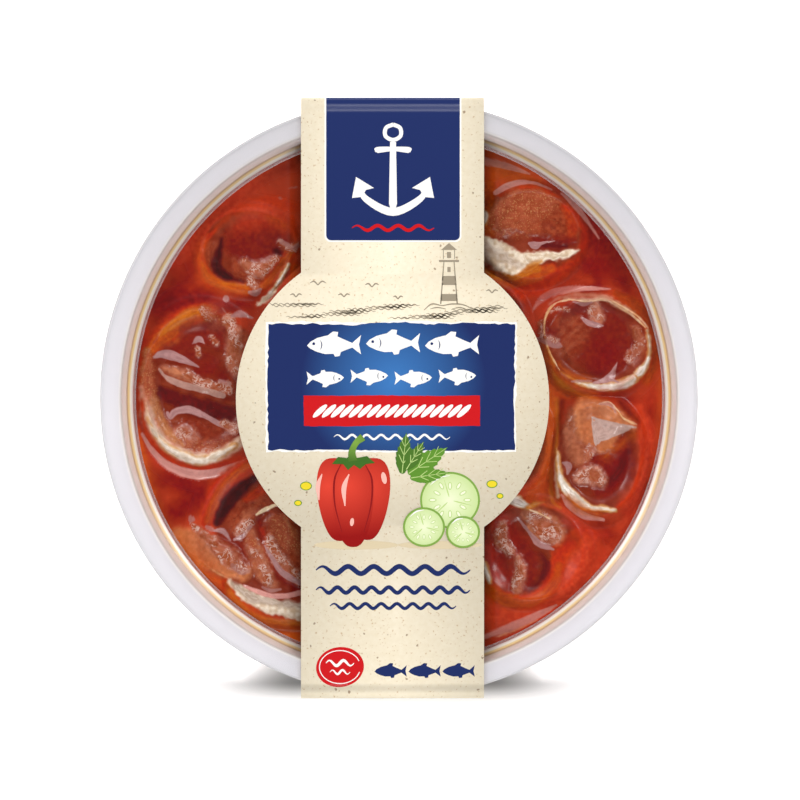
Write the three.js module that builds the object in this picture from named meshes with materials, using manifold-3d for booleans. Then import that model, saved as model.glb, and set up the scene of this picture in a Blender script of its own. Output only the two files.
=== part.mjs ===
// A sealed round tub of rolled herring fillets in tomato sauce, with a cardboard sleeve round it.
// Millimetres, +Z up. The pack lies on the sleeve's underside with the lid film on top, and the
// origin is on that underside, below the middle of the tub.

import * as THREE from "three";
import { LoftGeometry } from "three/addons/geometries/LoftGeometry.js";
import { mergeVertices } from "three/addons/utils/BufferGeometryUtils.js";
import Module from "manifold-3d";

const { smoothstep, degToRad, clamp, lerp } = THREE.MathUtils;
const wasm = await Module();
wasm.setup();

// The pack's outside
const RIM_RADIUS = 64.75;
const PACK_HEIGHT = 32;

// The sheets that it is made of
const BOARD = 0.5; // sleeve cardboard
const FILM = 0.25; // heat-sealed lid film
const PLASTIC = 0.8; // thermoformed tub

// The tub, seen from the inside
const FLANGE_WIDTH = 4.3;
const CORNER = 0.5; // rounding where the flange turns down into the tub
const NECK_DEPTH = 3.2; // upright band under the flange
const NECK_DRAFT = 0.8; // how far that band leans in
const LEDGE_WIDTH = 1.5; // stacking ledge under it
const LEDGE_ROUNDING = 0.4; // its inner edge
const LEDGE_RISE = 0.25; // it slopes up to the neck
const WALL_DRAFT = degToRad(6);
const BASE_ROUNDING = 4;
const BASE_PANEL_RADIUS = 38; // the middle of the base is raised, so the tub stands on a ring
const BASE_PANEL_RISE = 0.8;
const BASE_PANEL_SLOPE = 2;
const TUB_FACETS = 56;
const RIM_FLAT = 64.1; // the rim is pressed a little flat where the sleeve folds round it

// The sleeve
const SLEEVE_WIDTH = 39.6;
const SLEEVE_X = -1.4; // it sits a little left of the middle
const SLEEVE_REACH = 65.2; // half its length across the rim
const SLEEVE_BASE_REACH = 56; // half its length across the base
const SLEEVE_FOLD = 0.9; // outer radius of a fold
const DISC_RADIUS = 33.9; // round window-like widening of the top panel
const DISC_Y = -0.4;

// The filling
const SAUCE_LEVEL = 23.5;
const SAUCE_UNDER = 1.2; // sauce below the rolls
const GAP = 0.3; // clearance between pieces that lie against each other

// A fillet stands on its long edge. Each row of points has its share of the fillet's height, and
// where the skin and flesh sides are there, as shares of the thickness.
const FILLET_ROWS = [
  { up: 0, skin: 0.26, flesh: 0.76 },
  { up: 0.35, skin: 0, flesh: 1 },
  { up: 0.8, skin: 0, flesh: 0.85 },
  { up: 1, skin: 0.16, flesh: 0.52 },
];
const FILLET_THICKNESS = 3.8;
const END_THICKNESS = 0.9; // the fillet's two ends are thin
const END_TAPER = 0.2; // share of a turn over which it reaches its full thickness
const TURN_GAP = 1.2; // sauce between one turn and the next
const TURN_CLOSES = 0.7; // share of the first turn after which the fillet bends in under its end
const PEEL_TURN = 0.28; // share of a turn over which an outer end peels away
const FOOT_LEAN = 0.055; // a roll's foot stands nearer the middle than its rim by this share
const CENTRE_DIP = 1.6; // the inner turns end lower than the outer one
const STEPS_PER_TURN = 17;

// The space cut in the sauce for a fillet, as shares of its thickness at the foot and at the top,
// which is this far above the rim
const SPACE_FOOT = 1.12;
const SPACE_TOP = 0.66;
const SPACE_ABOVE = 8;

// Each rolled fillet: centre at the sauce's surface, half width and half depth, where its outer
// end lies and its turns (negative turns run clockwise), how far the rim stands above the sauce,
// which way it slopes up and by how much, and how far its outer end peels away.
const ROLLS = [
  { x: 43.0, y: 11.6, a: 11.6, b: 10.8, start: 200, turns: 1.3, rim: 2.2, up: 150, slope: 0.9, peel: 0 },
  { x: 43.2, y: -13.1, a: 9.8, b: 12.9, start: 60, turns: 1.3, rim: 2.4, up: 120, slope: 1.2, peel: 0 },
  { x: 28.6, y: 35.4, a: 11.2, b: 10.2, start: 175, turns: 1.25, rim: 2.6, up: 60, slope: 1.2, peel: 0 },
  { x: 28.9, y: -33.5, a: 11.9, b: 11.0, start: 75, turns: -1.3, rim: 1.4, up: 70, slope: 1.4, peel: 0.8 },
  { x: -42.9, y: 2.6, a: 13.3, b: 17.2, start: 10, turns: 1.9, rim: 2.2, up: 250, slope: 0.9, peel: 0 },
  { x: -32.6, y: 32.0, a: 10.6, b: 9.3, start: 20, turns: -1.3, rim: 0.9, up: 250, slope: 0.8, peel: 0 },
  { x: -23.6, y: -30.7, a: 17.2, b: 17.2, start: 182, turns: -2.1, rim: 2.0, up: 230, slope: 0.8, peel: 4.6 },
  { x: -2.6, y: 40.4, a: 11.8, b: 11.2, start: 200, turns: 1.3, rim: 1.8, up: 90, slope: 0.7, peel: 0 },
  { x: 5.6, y: -43.4, a: 10.4, b: 10.6, start: 80, turns: -1.2, rim: 1.6, up: 270, slope: 0.7, peel: 0 },
  { x: -15.1, y: 17.4, a: 12.1, b: 11.2, start: 330, turns: 1.3, rim: 2.0, up: 160, slope: 0.8, peel: 0 },
  { x: 21.6, y: -9.2, a: 11.4, b: 12.0, start: 200, turns: -1.3, rim: 1.8, up: 10, slope: 0.8, peel: 0 },
  { x: 17.0, y: 15.6, a: 11.0, b: 11.0, start: 240, turns: 1.25, rim: 1.6, up: 40, slope: 0.6, peel: 0 },
  { x: -4.6, y: -6.4, a: 11.4, b: 11.6, start: 90, turns: 1.3, rim: 1.7, up: 120, slope: 0.6, peel: 0 },
];

// Heights that follow from those
const filmTop = PACK_HEIGHT - BOARD;
const flangeTop = filmTop - FILM;
const baseUnder = BOARD;
const floorTop = baseUnder + PLASTIC;
const rollFoot = floorTop + SAUCE_UNDER + GAP;

const material = (color, roughness, more = {}) =>
  new THREE.MeshStandardMaterial({ color, roughness, metalness: 0, ...more });
const clearPlastic = material(0xe9e7ee, 0.2, { transparent: true, opacity: 0.4 });
const clearFilm = material(0xf4f4f4, 0.1, { transparent: true, opacity: 0.12 });
const cardboard = material(0xf2e4ca, 0.8);
const tomatoSauce = material(0xa63322, 0.25);
const herring = material(0xb5603c, 0.35);

const pack = new THREE.Group();

function addPiece(name, geometry, finish, x = 0, y = 0, z = 0) {
  const mesh = new THREE.Mesh(geometry, finish);
  mesh.name = name;
  mesh.position.set(x, y, z);
  pack.add(mesh);
  return mesh;
}

// Solids for manifold-3d's joins and cuts, and back again
function toSolid(geometry) {
  const bare = geometry.clone();
  for (const attribute of ["normal", "uv"]) bare.deleteAttribute(attribute);
  const merged = mergeVertices(bare, 1e-4);
  return new wasm.Manifold(
    new wasm.Mesh({
      numProp: 3,
      vertProperties: new Float32Array(merged.attributes.position.array),
      triVerts: new Uint32Array(merged.index.array),
    }),
  );
}

function toGeometry(solid) {
  const { vertProperties, triVerts } = solid.getMesh();
  const geometry = new THREE.BufferGeometry();
  geometry.setAttribute("position", new THREE.BufferAttribute(vertProperties, 3));
  geometry.setIndex(new THREE.BufferAttribute(triVerts, 1));
  return geometry;
}

// A profile of [radius, height] points, moved sideways by a distance: to its left if positive
function offsetProfile(points, distance) {
  const left = (p, q) => {
    const length = Math.hypot(q[0] - p[0], q[1] - p[1]);
    return [(p[1] - q[1]) / length, (q[0] - p[0]) / length];
  };
  return points.map((point, i) => {
    const before = left(points[Math.max(i - 1, 0)], points[Math.max(i, 1)]);
    const last = points.length - 1;
    const after = left(points[Math.min(i, last - 1)], points[Math.min(i + 1, last)]);
    const scale = distance / (1 + before[0] * after[0] + before[1] * after[1]);
    return [point[0] + scale * (before[0] + after[0]), point[1] + scale * (before[1] + after[1])];
  });
}

// A lathe turned about Z instead of three.js's Y
function turned(points) {
  const outline = points.map(([radius, height]) => new THREE.Vector2(radius, height));
  const geometry = new THREE.LatheGeometry(outline, TUB_FACETS);
  return geometry.rotateX(Math.PI / 2);
}

function arc(centreRadius, centreHeight, radius, from, to, steps) {
  return Array.from({ length: steps + 1 }, (_, i) => {
    const angle = degToRad(lerp(from, to, i / steps));
    return [centreRadius + radius * Math.cos(angle), centreHeight + radius * Math.sin(angle)];
  });
}

// The tub's inner surface, from the middle of the floor out and up to the flange's inner edge
const flangeInner = RIM_RADIUS - FLANGE_WIDTH;
const neckTop = flangeInner - CORNER;
const neckFoot = neckTop - NECK_DRAFT;
const ledgeHeight = flangeTop - CORNER - NECK_DEPTH;
const wallTop = neckFoot - LEDGE_WIDTH;
const wallLean = Math.tan(WALL_DRAFT);
const roundingHeight = floorTop + BASE_ROUNDING;
const wallFoot = wallTop - wallLean * (ledgeHeight - roundingHeight);
const inside = [
  [0, floorTop + BASE_PANEL_RISE],
  [BASE_PANEL_RADIUS, floorTop + BASE_PANEL_RISE],
  [BASE_PANEL_RADIUS + BASE_PANEL_SLOPE, floorTop],
  ...arc(wallFoot - BASE_ROUNDING, roundingHeight, BASE_ROUNDING, -90, 0, 2),
  [wallTop - LEDGE_ROUNDING / 2, ledgeHeight - LEDGE_ROUNDING],
  [wallTop + LEDGE_ROUNDING / 2, ledgeHeight],
  [neckFoot, ledgeHeight + LEDGE_RISE],
  ...arc(neckTop + CORNER, flangeTop - CORNER, CORNER, 180, 90, 1),
];
const rim = [RIM_RADIUS, flangeTop];
const outside = offsetProfile([...inside, rim], -PLASTIC);
outside[0][0] = 0;
const roundTub = turned([...outside, rim, ...inside.toReversed()]);
const betweenFlats = new THREE.BoxGeometry(3 * RIM_RADIUS, 2 * RIM_FLAT, 3 * PACK_HEIGHT);
addPiece("tub", toGeometry(toSolid(roundTub).intersect(toSolid(betweenFlats))), clearPlastic);

// The film lies on the flange and closes the tub
const filmOutline = Array.from({ length: TUB_FACETS }, (_, i) => {
  const angle = (2 * Math.PI * i) / TUB_FACETS;
  const y = clamp(RIM_RADIUS * Math.sin(angle), -RIM_FLAT, RIM_FLAT);
  return new THREE.Vector2(RIM_RADIUS * Math.cos(angle), y);
});
const film = new THREE.ExtrudeGeometry(new THREE.Shape(filmOutline), { depth: FILM, bevelEnabled: false });
addPiece("lid_film", film, clearFilm, 0, 0, flangeTop);

// The sleeve is a loop of board: a section in Y and Z, extruded across its width
function sleeveLoop(inset, Outline) {
  const fold = SLEEVE_FOLD - inset;
  const top = PACK_HEIGHT - inset;
  const reach = SLEEVE_REACH - inset;
  const baseReach = SLEEVE_BASE_REACH - inset;
  const corners = [[reach, top], [-reach, top], [-baseReach, inset], [baseReach, inset]];
  const outline = new Outline();
  corners.forEach((corner, i) => {
    const toward = (other) => {
      const length = Math.hypot(other[0] - corner[0], other[1] - corner[1]);
      return corner.map((value, axis) => value + ((other[axis] - value) * fold) / length);
    };
    const start = toward(corners[(i + 3) % 4]);
    const end = toward(corners[(i + 1) % 4]);
    if (i === 0) outline.moveTo(...start);
    else outline.lineTo(...start);
    outline.quadraticCurveTo(...corner, ...end);
  });
  outline.closePath();
  return outline;
}

const sleeveSection = sleeveLoop(0, THREE.Shape);
sleeveSection.holes.push(sleeveLoop(BOARD, THREE.Path));
const loop = new THREE.ExtrudeGeometry(sleeveSection, {
  depth: SLEEVE_WIDTH,
  bevelEnabled: false,
  curveSegments: 4,
});
const [alongX, alongY, alongZ] = [0, 1, 2].map((axis) => new THREE.Vector3().setComponent(axis, 1));
loop.applyMatrix4(new THREE.Matrix4().makeBasis(alongY, alongZ, alongX));
loop.translate(-SLEEVE_WIDTH / 2, 0, 0);

const discOutline = new THREE.Shape().absarc(0, DISC_Y, DISC_RADIUS, 0, 2 * Math.PI);
const discSettings = { depth: BOARD, bevelEnabled: false, curveSegments: 30 };
const disc = new THREE.ExtrudeGeometry(discOutline, discSettings);
disc.translate(0, 0, filmTop);
addPiece("sleeve", toGeometry(toSolid(loop).add(toSolid(disc))), cardboard, SLEEVE_X);

function rollHeight(roll) {
  return SAUCE_LEVEL + roll.rim - rollFoot;
}

function thicknessAt(roll, turn) {
  const left = Math.abs(roll.turns) - turn;
  const fullness = smoothstep(turn, 0, END_TAPER) * smoothstep(left, 0, END_TAPER);
  return lerp(END_THICKNESS, FILLET_THICKNESS, fullness);
}

// How far in from the roll's outline the skin lies: each turn passes inside the one before it
function inwardAt(roll, turn) {
  if (turn < 1) return (END_THICKNESS + TURN_GAP) * smoothstep(turn, TURN_CLOSES, 1);
  return inwardAt(roll, turn - 1) + thicknessAt(roll, turn - 1) + TURN_GAP;
}

// A point at an angle, a depth in from the outline and a height. The rim slopes, the middle dips,
// and the foot leans towards the middle of the tub, as its wall does.
function rollPoint(roll, angle, depth, height) {
  const x = (roll.a - depth) * Math.cos(angle);
  const y = (roll.b - depth) * Math.sin(angle);
  const share = height / rollHeight(roll);
  const up = degToRad(roll.up);
  const middle = 1 - Math.min(Math.hypot(x / roll.a, y / roll.b), 1);
  const rise = (roll.slope * (x * Math.cos(up) + y * Math.sin(up))) / roll.a - CENTRE_DIP * middle;
  const foot = FOOT_LEAN * (1 - share);
  return new THREE.Vector3(x - roll.x * foot, y - roll.y * foot, height + rise * share);
}

// A rolled fillet is a loft of upright sections, one after the other along its turns. With a
// clearance it is the space that it needs, a little larger all round.
function rolledFillet(roll, rows, clearance = 0) {
  const turns = Math.abs(roll.turns);
  const first = -clearance / (2 * Math.PI * roll.a);
  const last = turns + clearance / (2 * Math.PI * FILLET_THICKNESS);
  const steps = Math.round(turns * STEPS_PER_TURN) + 1;
  const sections = Array.from({ length: steps + 1 }, (_, i) => {
    const turn = lerp(first, last, i / steps);
    const angle = degToRad(roll.start) + Math.sign(roll.turns) * turn * 2 * Math.PI;
    const inset = inwardAt(roll, turn) - roll.peel * (1 - smoothstep(turn, 0, PEEL_TURN));
    const thickness = thicknessAt(roll, turn);
    const side = (name, more) =>
      rows.map((row) => rollPoint(roll, angle, inset + thickness * row[name] + more, row.height));
    const section = [...side("flesh", clearance), ...side("skin", -clearance).toReversed()];
    return roll.turns > 0 ? section : section.toReversed();
  });
  return new THREE.BufferGeometry().copy(new LoftGeometry(sections, { capStart: true, capEnd: true }));
}

function filletRows(roll) {
  return FILLET_ROWS.map((row) => ({ ...row, height: row.up * rollHeight(roll) }));
}

function spaceRows(roll) {
  return [
    { height: -GAP, skin: 0, flesh: SPACE_FOOT },
    { height: rollHeight(roll) + SPACE_ABOVE, skin: 0, flesh: SPACE_TOP },
  ];
}

// The sauce fills the tub up to its level, except where the rolls stand. It touches the floor and
// stays clear of the wall.
const sauceSide = offsetProfile(inside.slice(2, 6), GAP);
const sauceFoot = sauceSide.at(-1);
const sauceEdge = [sauceFoot[0] + wallLean * (SAUCE_LEVEL - sauceFoot[1]), SAUCE_LEVEL];
const sauceProfile = [...inside.slice(0, 3), ...sauceSide.slice(1), sauceEdge, [0, SAUCE_LEVEL]];
let sauce = toSolid(turned(sauceProfile));

ROLLS.forEach((roll, i) => {
  const fillet = rolledFillet(roll, filletRows(roll));
  addPiece(`herring_roll_${i + 1}`, fillet, herring, roll.x, roll.y, rollFoot);
  const space = rolledFillet(roll, spaceRows(roll), GAP).translate(roll.x, roll.y, rollFoot);
  sauce = sauce.subtract(toSolid(space));
});

const sauceBody = sauce.decompose().sort((p, q) => q.volume() - p.volume())[0];
addPiece("tomato_sauce", toGeometry(sauceBody), tomatoSauce);

export default pack;
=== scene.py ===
import math

import bmesh
import bpy
import numpy as np
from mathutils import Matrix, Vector


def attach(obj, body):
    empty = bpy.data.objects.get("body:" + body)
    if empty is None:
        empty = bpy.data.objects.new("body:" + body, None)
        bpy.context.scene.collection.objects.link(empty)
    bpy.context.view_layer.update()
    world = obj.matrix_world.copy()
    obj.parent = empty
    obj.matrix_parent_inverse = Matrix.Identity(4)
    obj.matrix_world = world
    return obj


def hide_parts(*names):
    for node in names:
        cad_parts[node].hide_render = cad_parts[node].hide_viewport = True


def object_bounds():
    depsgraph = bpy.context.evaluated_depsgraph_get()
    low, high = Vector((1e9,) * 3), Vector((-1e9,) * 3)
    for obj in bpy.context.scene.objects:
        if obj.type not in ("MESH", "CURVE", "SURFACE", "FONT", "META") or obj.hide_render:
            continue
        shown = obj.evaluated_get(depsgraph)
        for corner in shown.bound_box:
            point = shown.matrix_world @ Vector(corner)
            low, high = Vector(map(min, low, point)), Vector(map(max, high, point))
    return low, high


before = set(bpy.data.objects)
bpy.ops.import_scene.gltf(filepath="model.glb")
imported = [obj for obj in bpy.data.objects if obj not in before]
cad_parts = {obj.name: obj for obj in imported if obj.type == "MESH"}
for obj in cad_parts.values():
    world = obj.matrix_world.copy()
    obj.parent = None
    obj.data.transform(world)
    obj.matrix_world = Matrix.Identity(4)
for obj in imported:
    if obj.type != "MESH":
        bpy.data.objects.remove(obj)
cad_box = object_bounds()

# Tub
# A clear tray, thermoformed from one sheet of plastic. A wide frosted flange carries the film, and
# under it are an upright neck, a ledge for stacking and a wall that leans in to a rounded foot.
MM = 0.001
RIM_RADIUS = round(cad_box[1][0] / MM, 2)
RIM_FLAT = RIM_RADIUS - 0.65  # the rim is pressed a little flat at the sleeve's folds
PLASTIC = 0.8
FLANGE_TOP = 31.25
FLOOR_TOP = 1.3
WALL_TOP = 57.65  # the inner wall's radius just below the ledge
WALL_LEAN = math.tan(math.radians(6))
LEDGE_HEIGHT = 27.55
FOOT_ROUNDING = 4.0
TUB_STEPS = 240  # faces round the rim


def wall_radius(height):
    """The radius of the tub's inner wall at a height"""
    return WALL_TOP - WALL_LEAN * (LEDGE_HEIGHT - height)


def rounding(centre_radius, centre_height, radius, start, end, steps):
    """Points on a rounded corner of an outline, as (radius, height)"""
    angles = np.radians(np.linspace(start, end, steps + 1))
    return [(centre_radius + radius * math.cos(t), centre_height + radius * math.sin(t)) for t in angles]


# The tub's inside, from the middle of the floor up to the rim, as (radius, height)
foot_height = FLOOR_TOP + FOOT_ROUNDING
foot_radius = wall_radius(foot_height) - FOOT_ROUNDING
TUB_INSIDE = [
    (0, 2.1),
    (12, 2.1),
    (37.6, 2.1),
    (38.4, 2.0),
    (40, 1.35),
    (40.8, FLOOR_TOP),
    *rounding(foot_radius, foot_height, FOOT_ROUNDING, -90, 0, 8),
    (wall_radius(10), 10),
    (wall_radius(16), 16),
    (wall_radius(22), 22),
    (WALL_TOP - 0.12, LEDGE_HEIGHT - 0.7),
    (WALL_TOP + 0.05, LEDGE_HEIGHT - 0.2),
    (WALL_TOP + 0.35, LEDGE_HEIGHT),
    (58.75, LEDGE_HEIGHT + 0.15),
    (59.05, LEDGE_HEIGHT + 0.3),
    (59.2, LEDGE_HEIGHT + 0.7),
    (59.9, 30.5),
    (60.02, 30.9),
    (60.3, 31.18),
    (60.7, FLANGE_TOP),
    (61.0, FLANGE_TOP),
    (61.2, FLANGE_TOP - 0.08),
    (64.0, FLANGE_TOP - 0.08),
    (64.4, FLANGE_TOP - 0.03),
    (RIM_RADIUS - 0.05, FLANGE_TOP - 0.2),
    (RIM_RADIUS, FLANGE_TOP - 0.45),
]


def turned(outline, steps):
    """A bmesh turned about Z: a grid wrapped round, with a row for each (radius, height) point"""
    rows = len(outline) - 1
    bm = bmesh.new()
    bmesh.ops.create_grid(bm, x_segments=steps, y_segments=rows, size=0.5)
    for vert in bm.verts:
        radius, height = outline[round((vert.co.y + 0.5) * rows)]
        angle = 2 * math.pi * vert.co.x
        vert.co = (radius * math.cos(angle) * MM, radius * math.sin(angle) * MM, height * MM)
    bmesh.ops.remove_doubles(bm, verts=bm.verts, dist=1e-7)
    bmesh.ops.recalc_face_normals(bm, faces=bm.faces)
    return bm


def piece(name, bm, material, crease=35):
    """Makes a bmesh into a piece of the pack, smooth but for its edges over the crease angle"""
    mesh = bpy.data.meshes.new(name)
    bm.to_mesh(mesh)
    bm.free()
    mesh.polygons.foreach_set("use_smooth", [True] * len(mesh.polygons))
    mesh.set_sharp_from_angle(angle=math.radians(crease))
    mesh.materials.append(material)
    made = bpy.data.objects.new(name, mesh)
    bpy.context.scene.collection.objects.link(made)
    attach(made, "root")
    return made


def shade(code):
    """A linear colour from an sRGB hex value"""
    values = [int(code[i : i + 2], 16) / 255 for i in (1, 3, 5)]
    return [v / 12.92 if v <= 0.04045 else ((v + 0.055) / 1.055) ** 2.4 for v in values] + [1]


def add(tree, kind, inputs=None, stops=(), **settings):
    """Adds a node with its settings. Each input gets a value or another node's output, and a
    colour ramp gets its stops as (place, hex colour)."""
    made = tree.nodes.new("ShaderNode" + kind)
    for key, value in settings.items():
        setattr(made, key, value)
    for key, value in (inputs or {}).items():
        if isinstance(value, bpy.types.NodeSocket):
            tree.links.new(value, made.inputs[key])
        else:
            made.inputs[key].default_value = value
    elements = made.color_ramp.elements if stops else []
    while len(elements) < len(stops):
        elements.new(0.5)
    for element, (place, code) in zip(elements, stops):
        element.position = place
        element.color = shade(code)
    return made


def new_material(name):
    """A new material and its empty node tree"""
    material = bpy.data.materials.new(name)
    material.use_nodes = True
    material.node_tree.nodes.clear()
    return material, material.node_tree


# Clear thermoformed plastic with a frosted flange. Seen from above, its bends under the flange gather the
# light and the sauce's colour into fine rings: pink, tan, yellow and white. These rings are painted into
# the plastic's colour as painted highlights and reflections mixed with the sauce's colour. Each ring has
# its radius, and the frost is drawn coarser than it is, so that it shows.
BAND_START = 56.8
BAND_END = 65.0
TUB_BANDS = [
    (56.8, "#E8D8D2"),
    (57.15, "#A65A4A"),
    (57.6, "#A45245"),
    (57.85, "#F0DCD4"),
    (58.2, "#FAF2E6"),
    (58.42, "#F7DDAE"),
    (58.68, "#F6CD88"),
    (58.84, "#D6AE7A"),
    (59.02, "#C29A74"),
    (59.2, "#E6CDBF"),
    (59.5, "#E9CCC3"),
    (59.9, "#E6CFC8"),
    (60.1, "#C6B8B0"),
    (60.3, "#D4CBC8"),
    (60.55, "#F7F3F1"),
    (60.9, "#ECE9EE"),
    (62.5, "#EFECF2"),
    (64.3, "#EDEBF0"),
    (64.6, "#DCDADD"),
    (64.9, "#CFCFD2"),
]
# How much the plastic covers what is behind it, by the radius
TUB_CLARITY = [
    (56.8, 0.07),
    (57.15, 0.1),
    (57.3, 0.5),
    (57.6, 0.62),
    (57.85, 0.75),
    (58.2, 0.85),
    (58.9, 0.85),
    (59.2, 0.55),
    (59.9, 0.5),
    (60.5, 0.7),
    (61.0, 0.72),
    (64.3, 0.72),
    (64.8, 0.85),
]


def grey(value):
    """The hex colour whose linear value is a number from 0 to 1"""
    level = 12.92 * value if value <= 0.0031308 else 1.055 * value ** (1 / 2.4) - 0.055
    return "#" + f"{round(level * 255):02X}" * 3


def band_place(radius):
    return (radius - BAND_START) / (BAND_END - BAND_START)


clear_plastic, tree = new_material("clear_thermoformed_plastic")
place = add(tree, "TexCoord").outputs["Object"]
flat_place = add(tree, "VectorMath", {0: place, 1: (1, 1, 0)}, operation="MULTIPLY").outputs[0]
radius = add(tree, "VectorMath", {0: flat_place}, operation="LENGTH").outputs["Value"]
waver = add(tree, "TexNoise", {"Vector": place, "Scale": 1 / (4.17 * MM), "Detail": 3}).outputs["Fac"]
waver = add(tree, "Math", {0: waver, 1: -0.5}, operation="ADD").outputs[0]
radius = add(tree, "Math", {0: waver, 1: 0.1 * MM, 2: radius}, operation="MULTIPLY_ADD").outputs[0]
across = add(
    tree,
    "MapRange",
    {"Value": radius, "From Min": BAND_START * MM, "From Max": BAND_END * MM},
).outputs[0]
bands = [(band_place(band_radius), code) for band_radius, code in TUB_BANDS]
clearness = [(band_place(band_radius), grey(value)) for band_radius, value in TUB_CLARITY]
# The plastic's colour by radius, with its rings of painted highlight and reflection
band_colour = add(tree, "ValToRGB", {"Fac": across}, bands).outputs["Color"]
clarity = add(tree, "ValToRGB", {"Fac": across}, clearness).outputs["Color"]
# Painted shade: the plastic's colour is made greyer towards the far side, where less light falls on it
far_side = add(tree, "SeparateXYZ", {0: place}).outputs["Y"]
painted_far_shade = add(
    tree,
    "MapRange",
    {"Value": far_side, "From Min": -5 * MM, "From Max": 58 * MM, "To Min": 1.0, "To Max": 0.76},
).outputs[0]
band_colour = add(tree, "HueSaturation", {"Color": band_colour, "Value": painted_far_shade}).outputs[0]
frost = add(tree, "TexNoise", {"Vector": place, "Scale": 1 / (0.625 * MM), "Detail": 2}).outputs["Fac"]
frosted = add(
    tree,
    "MapRange",
    {"Value": radius, "From Min": 59.9 * MM, "From Max": 60.6 * MM, "To Max": 0.12},
).outputs[0]
frost_bump = add(tree, "Bump", {"Height": frost, "Strength": frosted, "Distance": 0.1 * MM})
surface = add(
    tree,
    "BsdfPrincipled",
    {
        "Base Color": band_colour,
        "Alpha": clarity,
        "Roughness": 0.22,
        "IOR": 1.57,
        "Normal": frost_bump.outputs[0],
    },
)
add(tree, "OutputMaterial", {"Surface": surface.outputs[0]})


def press_flat(bm):
    """Presses the rim flat where the sleeve's folds hold it"""
    for vert in bm.verts:
        vert.co.y = max(-RIM_FLAT * MM, min(RIM_FLAT * MM, vert.co.y))


bm = turned(TUB_INSIDE, TUB_STEPS)
press_flat(bm)
if min(bm.faces, key=lambda face: face.calc_center_median().length).normal.z < 0:
    bmesh.ops.reverse_faces(bm, faces=bm.faces)
tub = piece("clear_tub", bm, clear_plastic)
wall = tub.modifiers.new("wall", "SOLIDIFY")
wall.thickness = PLASTIC * MM
wall.offset = -1
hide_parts("tub")

# Sauce
# Thick oily tomato sauce with the rolls standing in it. It is deep red where it is deep, and orange
# where it lies thin over the pale skin of a roll or against the tub's wall.
SAUCE_LEVEL = 23.5
PHOTO_MM = 0.21645  # one pixel of the view from above, at the flange
PHOTO_CENTRE = (399, 398)  # the pixel above the tub's middle
WETTEST = 0.2  # the roughness of clear sauce

# Each rolled fillet: centre, half width, half depth, how far its rim stands out of the sauce, and how
# deep its middle lies as a share of that
ROLLS = {
    "herring_roll_1": (43.0, 11.6, 11.6, 10.8, 2.2, 0.7),
    "herring_roll_2": (43.2, -13.1, 9.8, 12.9, 2.4, 0.6),
    "herring_roll_3": (28.6, 35.4, 11.2, 10.2, 2.4, 0.05),
    "herring_roll_4": (28.9, -33.5, 11.9, 11.0, 1.6, 0.7),
    "herring_roll_5": (-42.9, 2.6, 13.3, 17.2, 2.2, 0.7),
    "herring_roll_6": (-32.6, 32.0, 10.6, 9.3, 1.0, 0.3),
    "herring_roll_7": (-23.6, -30.7, 17.2, 17.2, 1.9, 0.5),
    "herring_roll_8": (-2.6, 40.4, 11.8, 11.2, 1.8, 0.7),
    "herring_roll_9": (5.6, -43.4, 10.4, 10.6, 1.6, 0.7),
    "herring_roll_10": (-15.1, 17.4, 12.1, 11.2, 2.0, 0.7),
    "herring_roll_11": (21.6, -9.2, 11.4, 12.0, 1.8, 0.7),
    "herring_roll_12": (17.0, 15.6, 11.0, 11.0, 1.6, 0.7),
    "herring_roll_13": (-4.6, -6.4, 11.4, 11.6, 1.7, 0.7),
}

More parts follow.
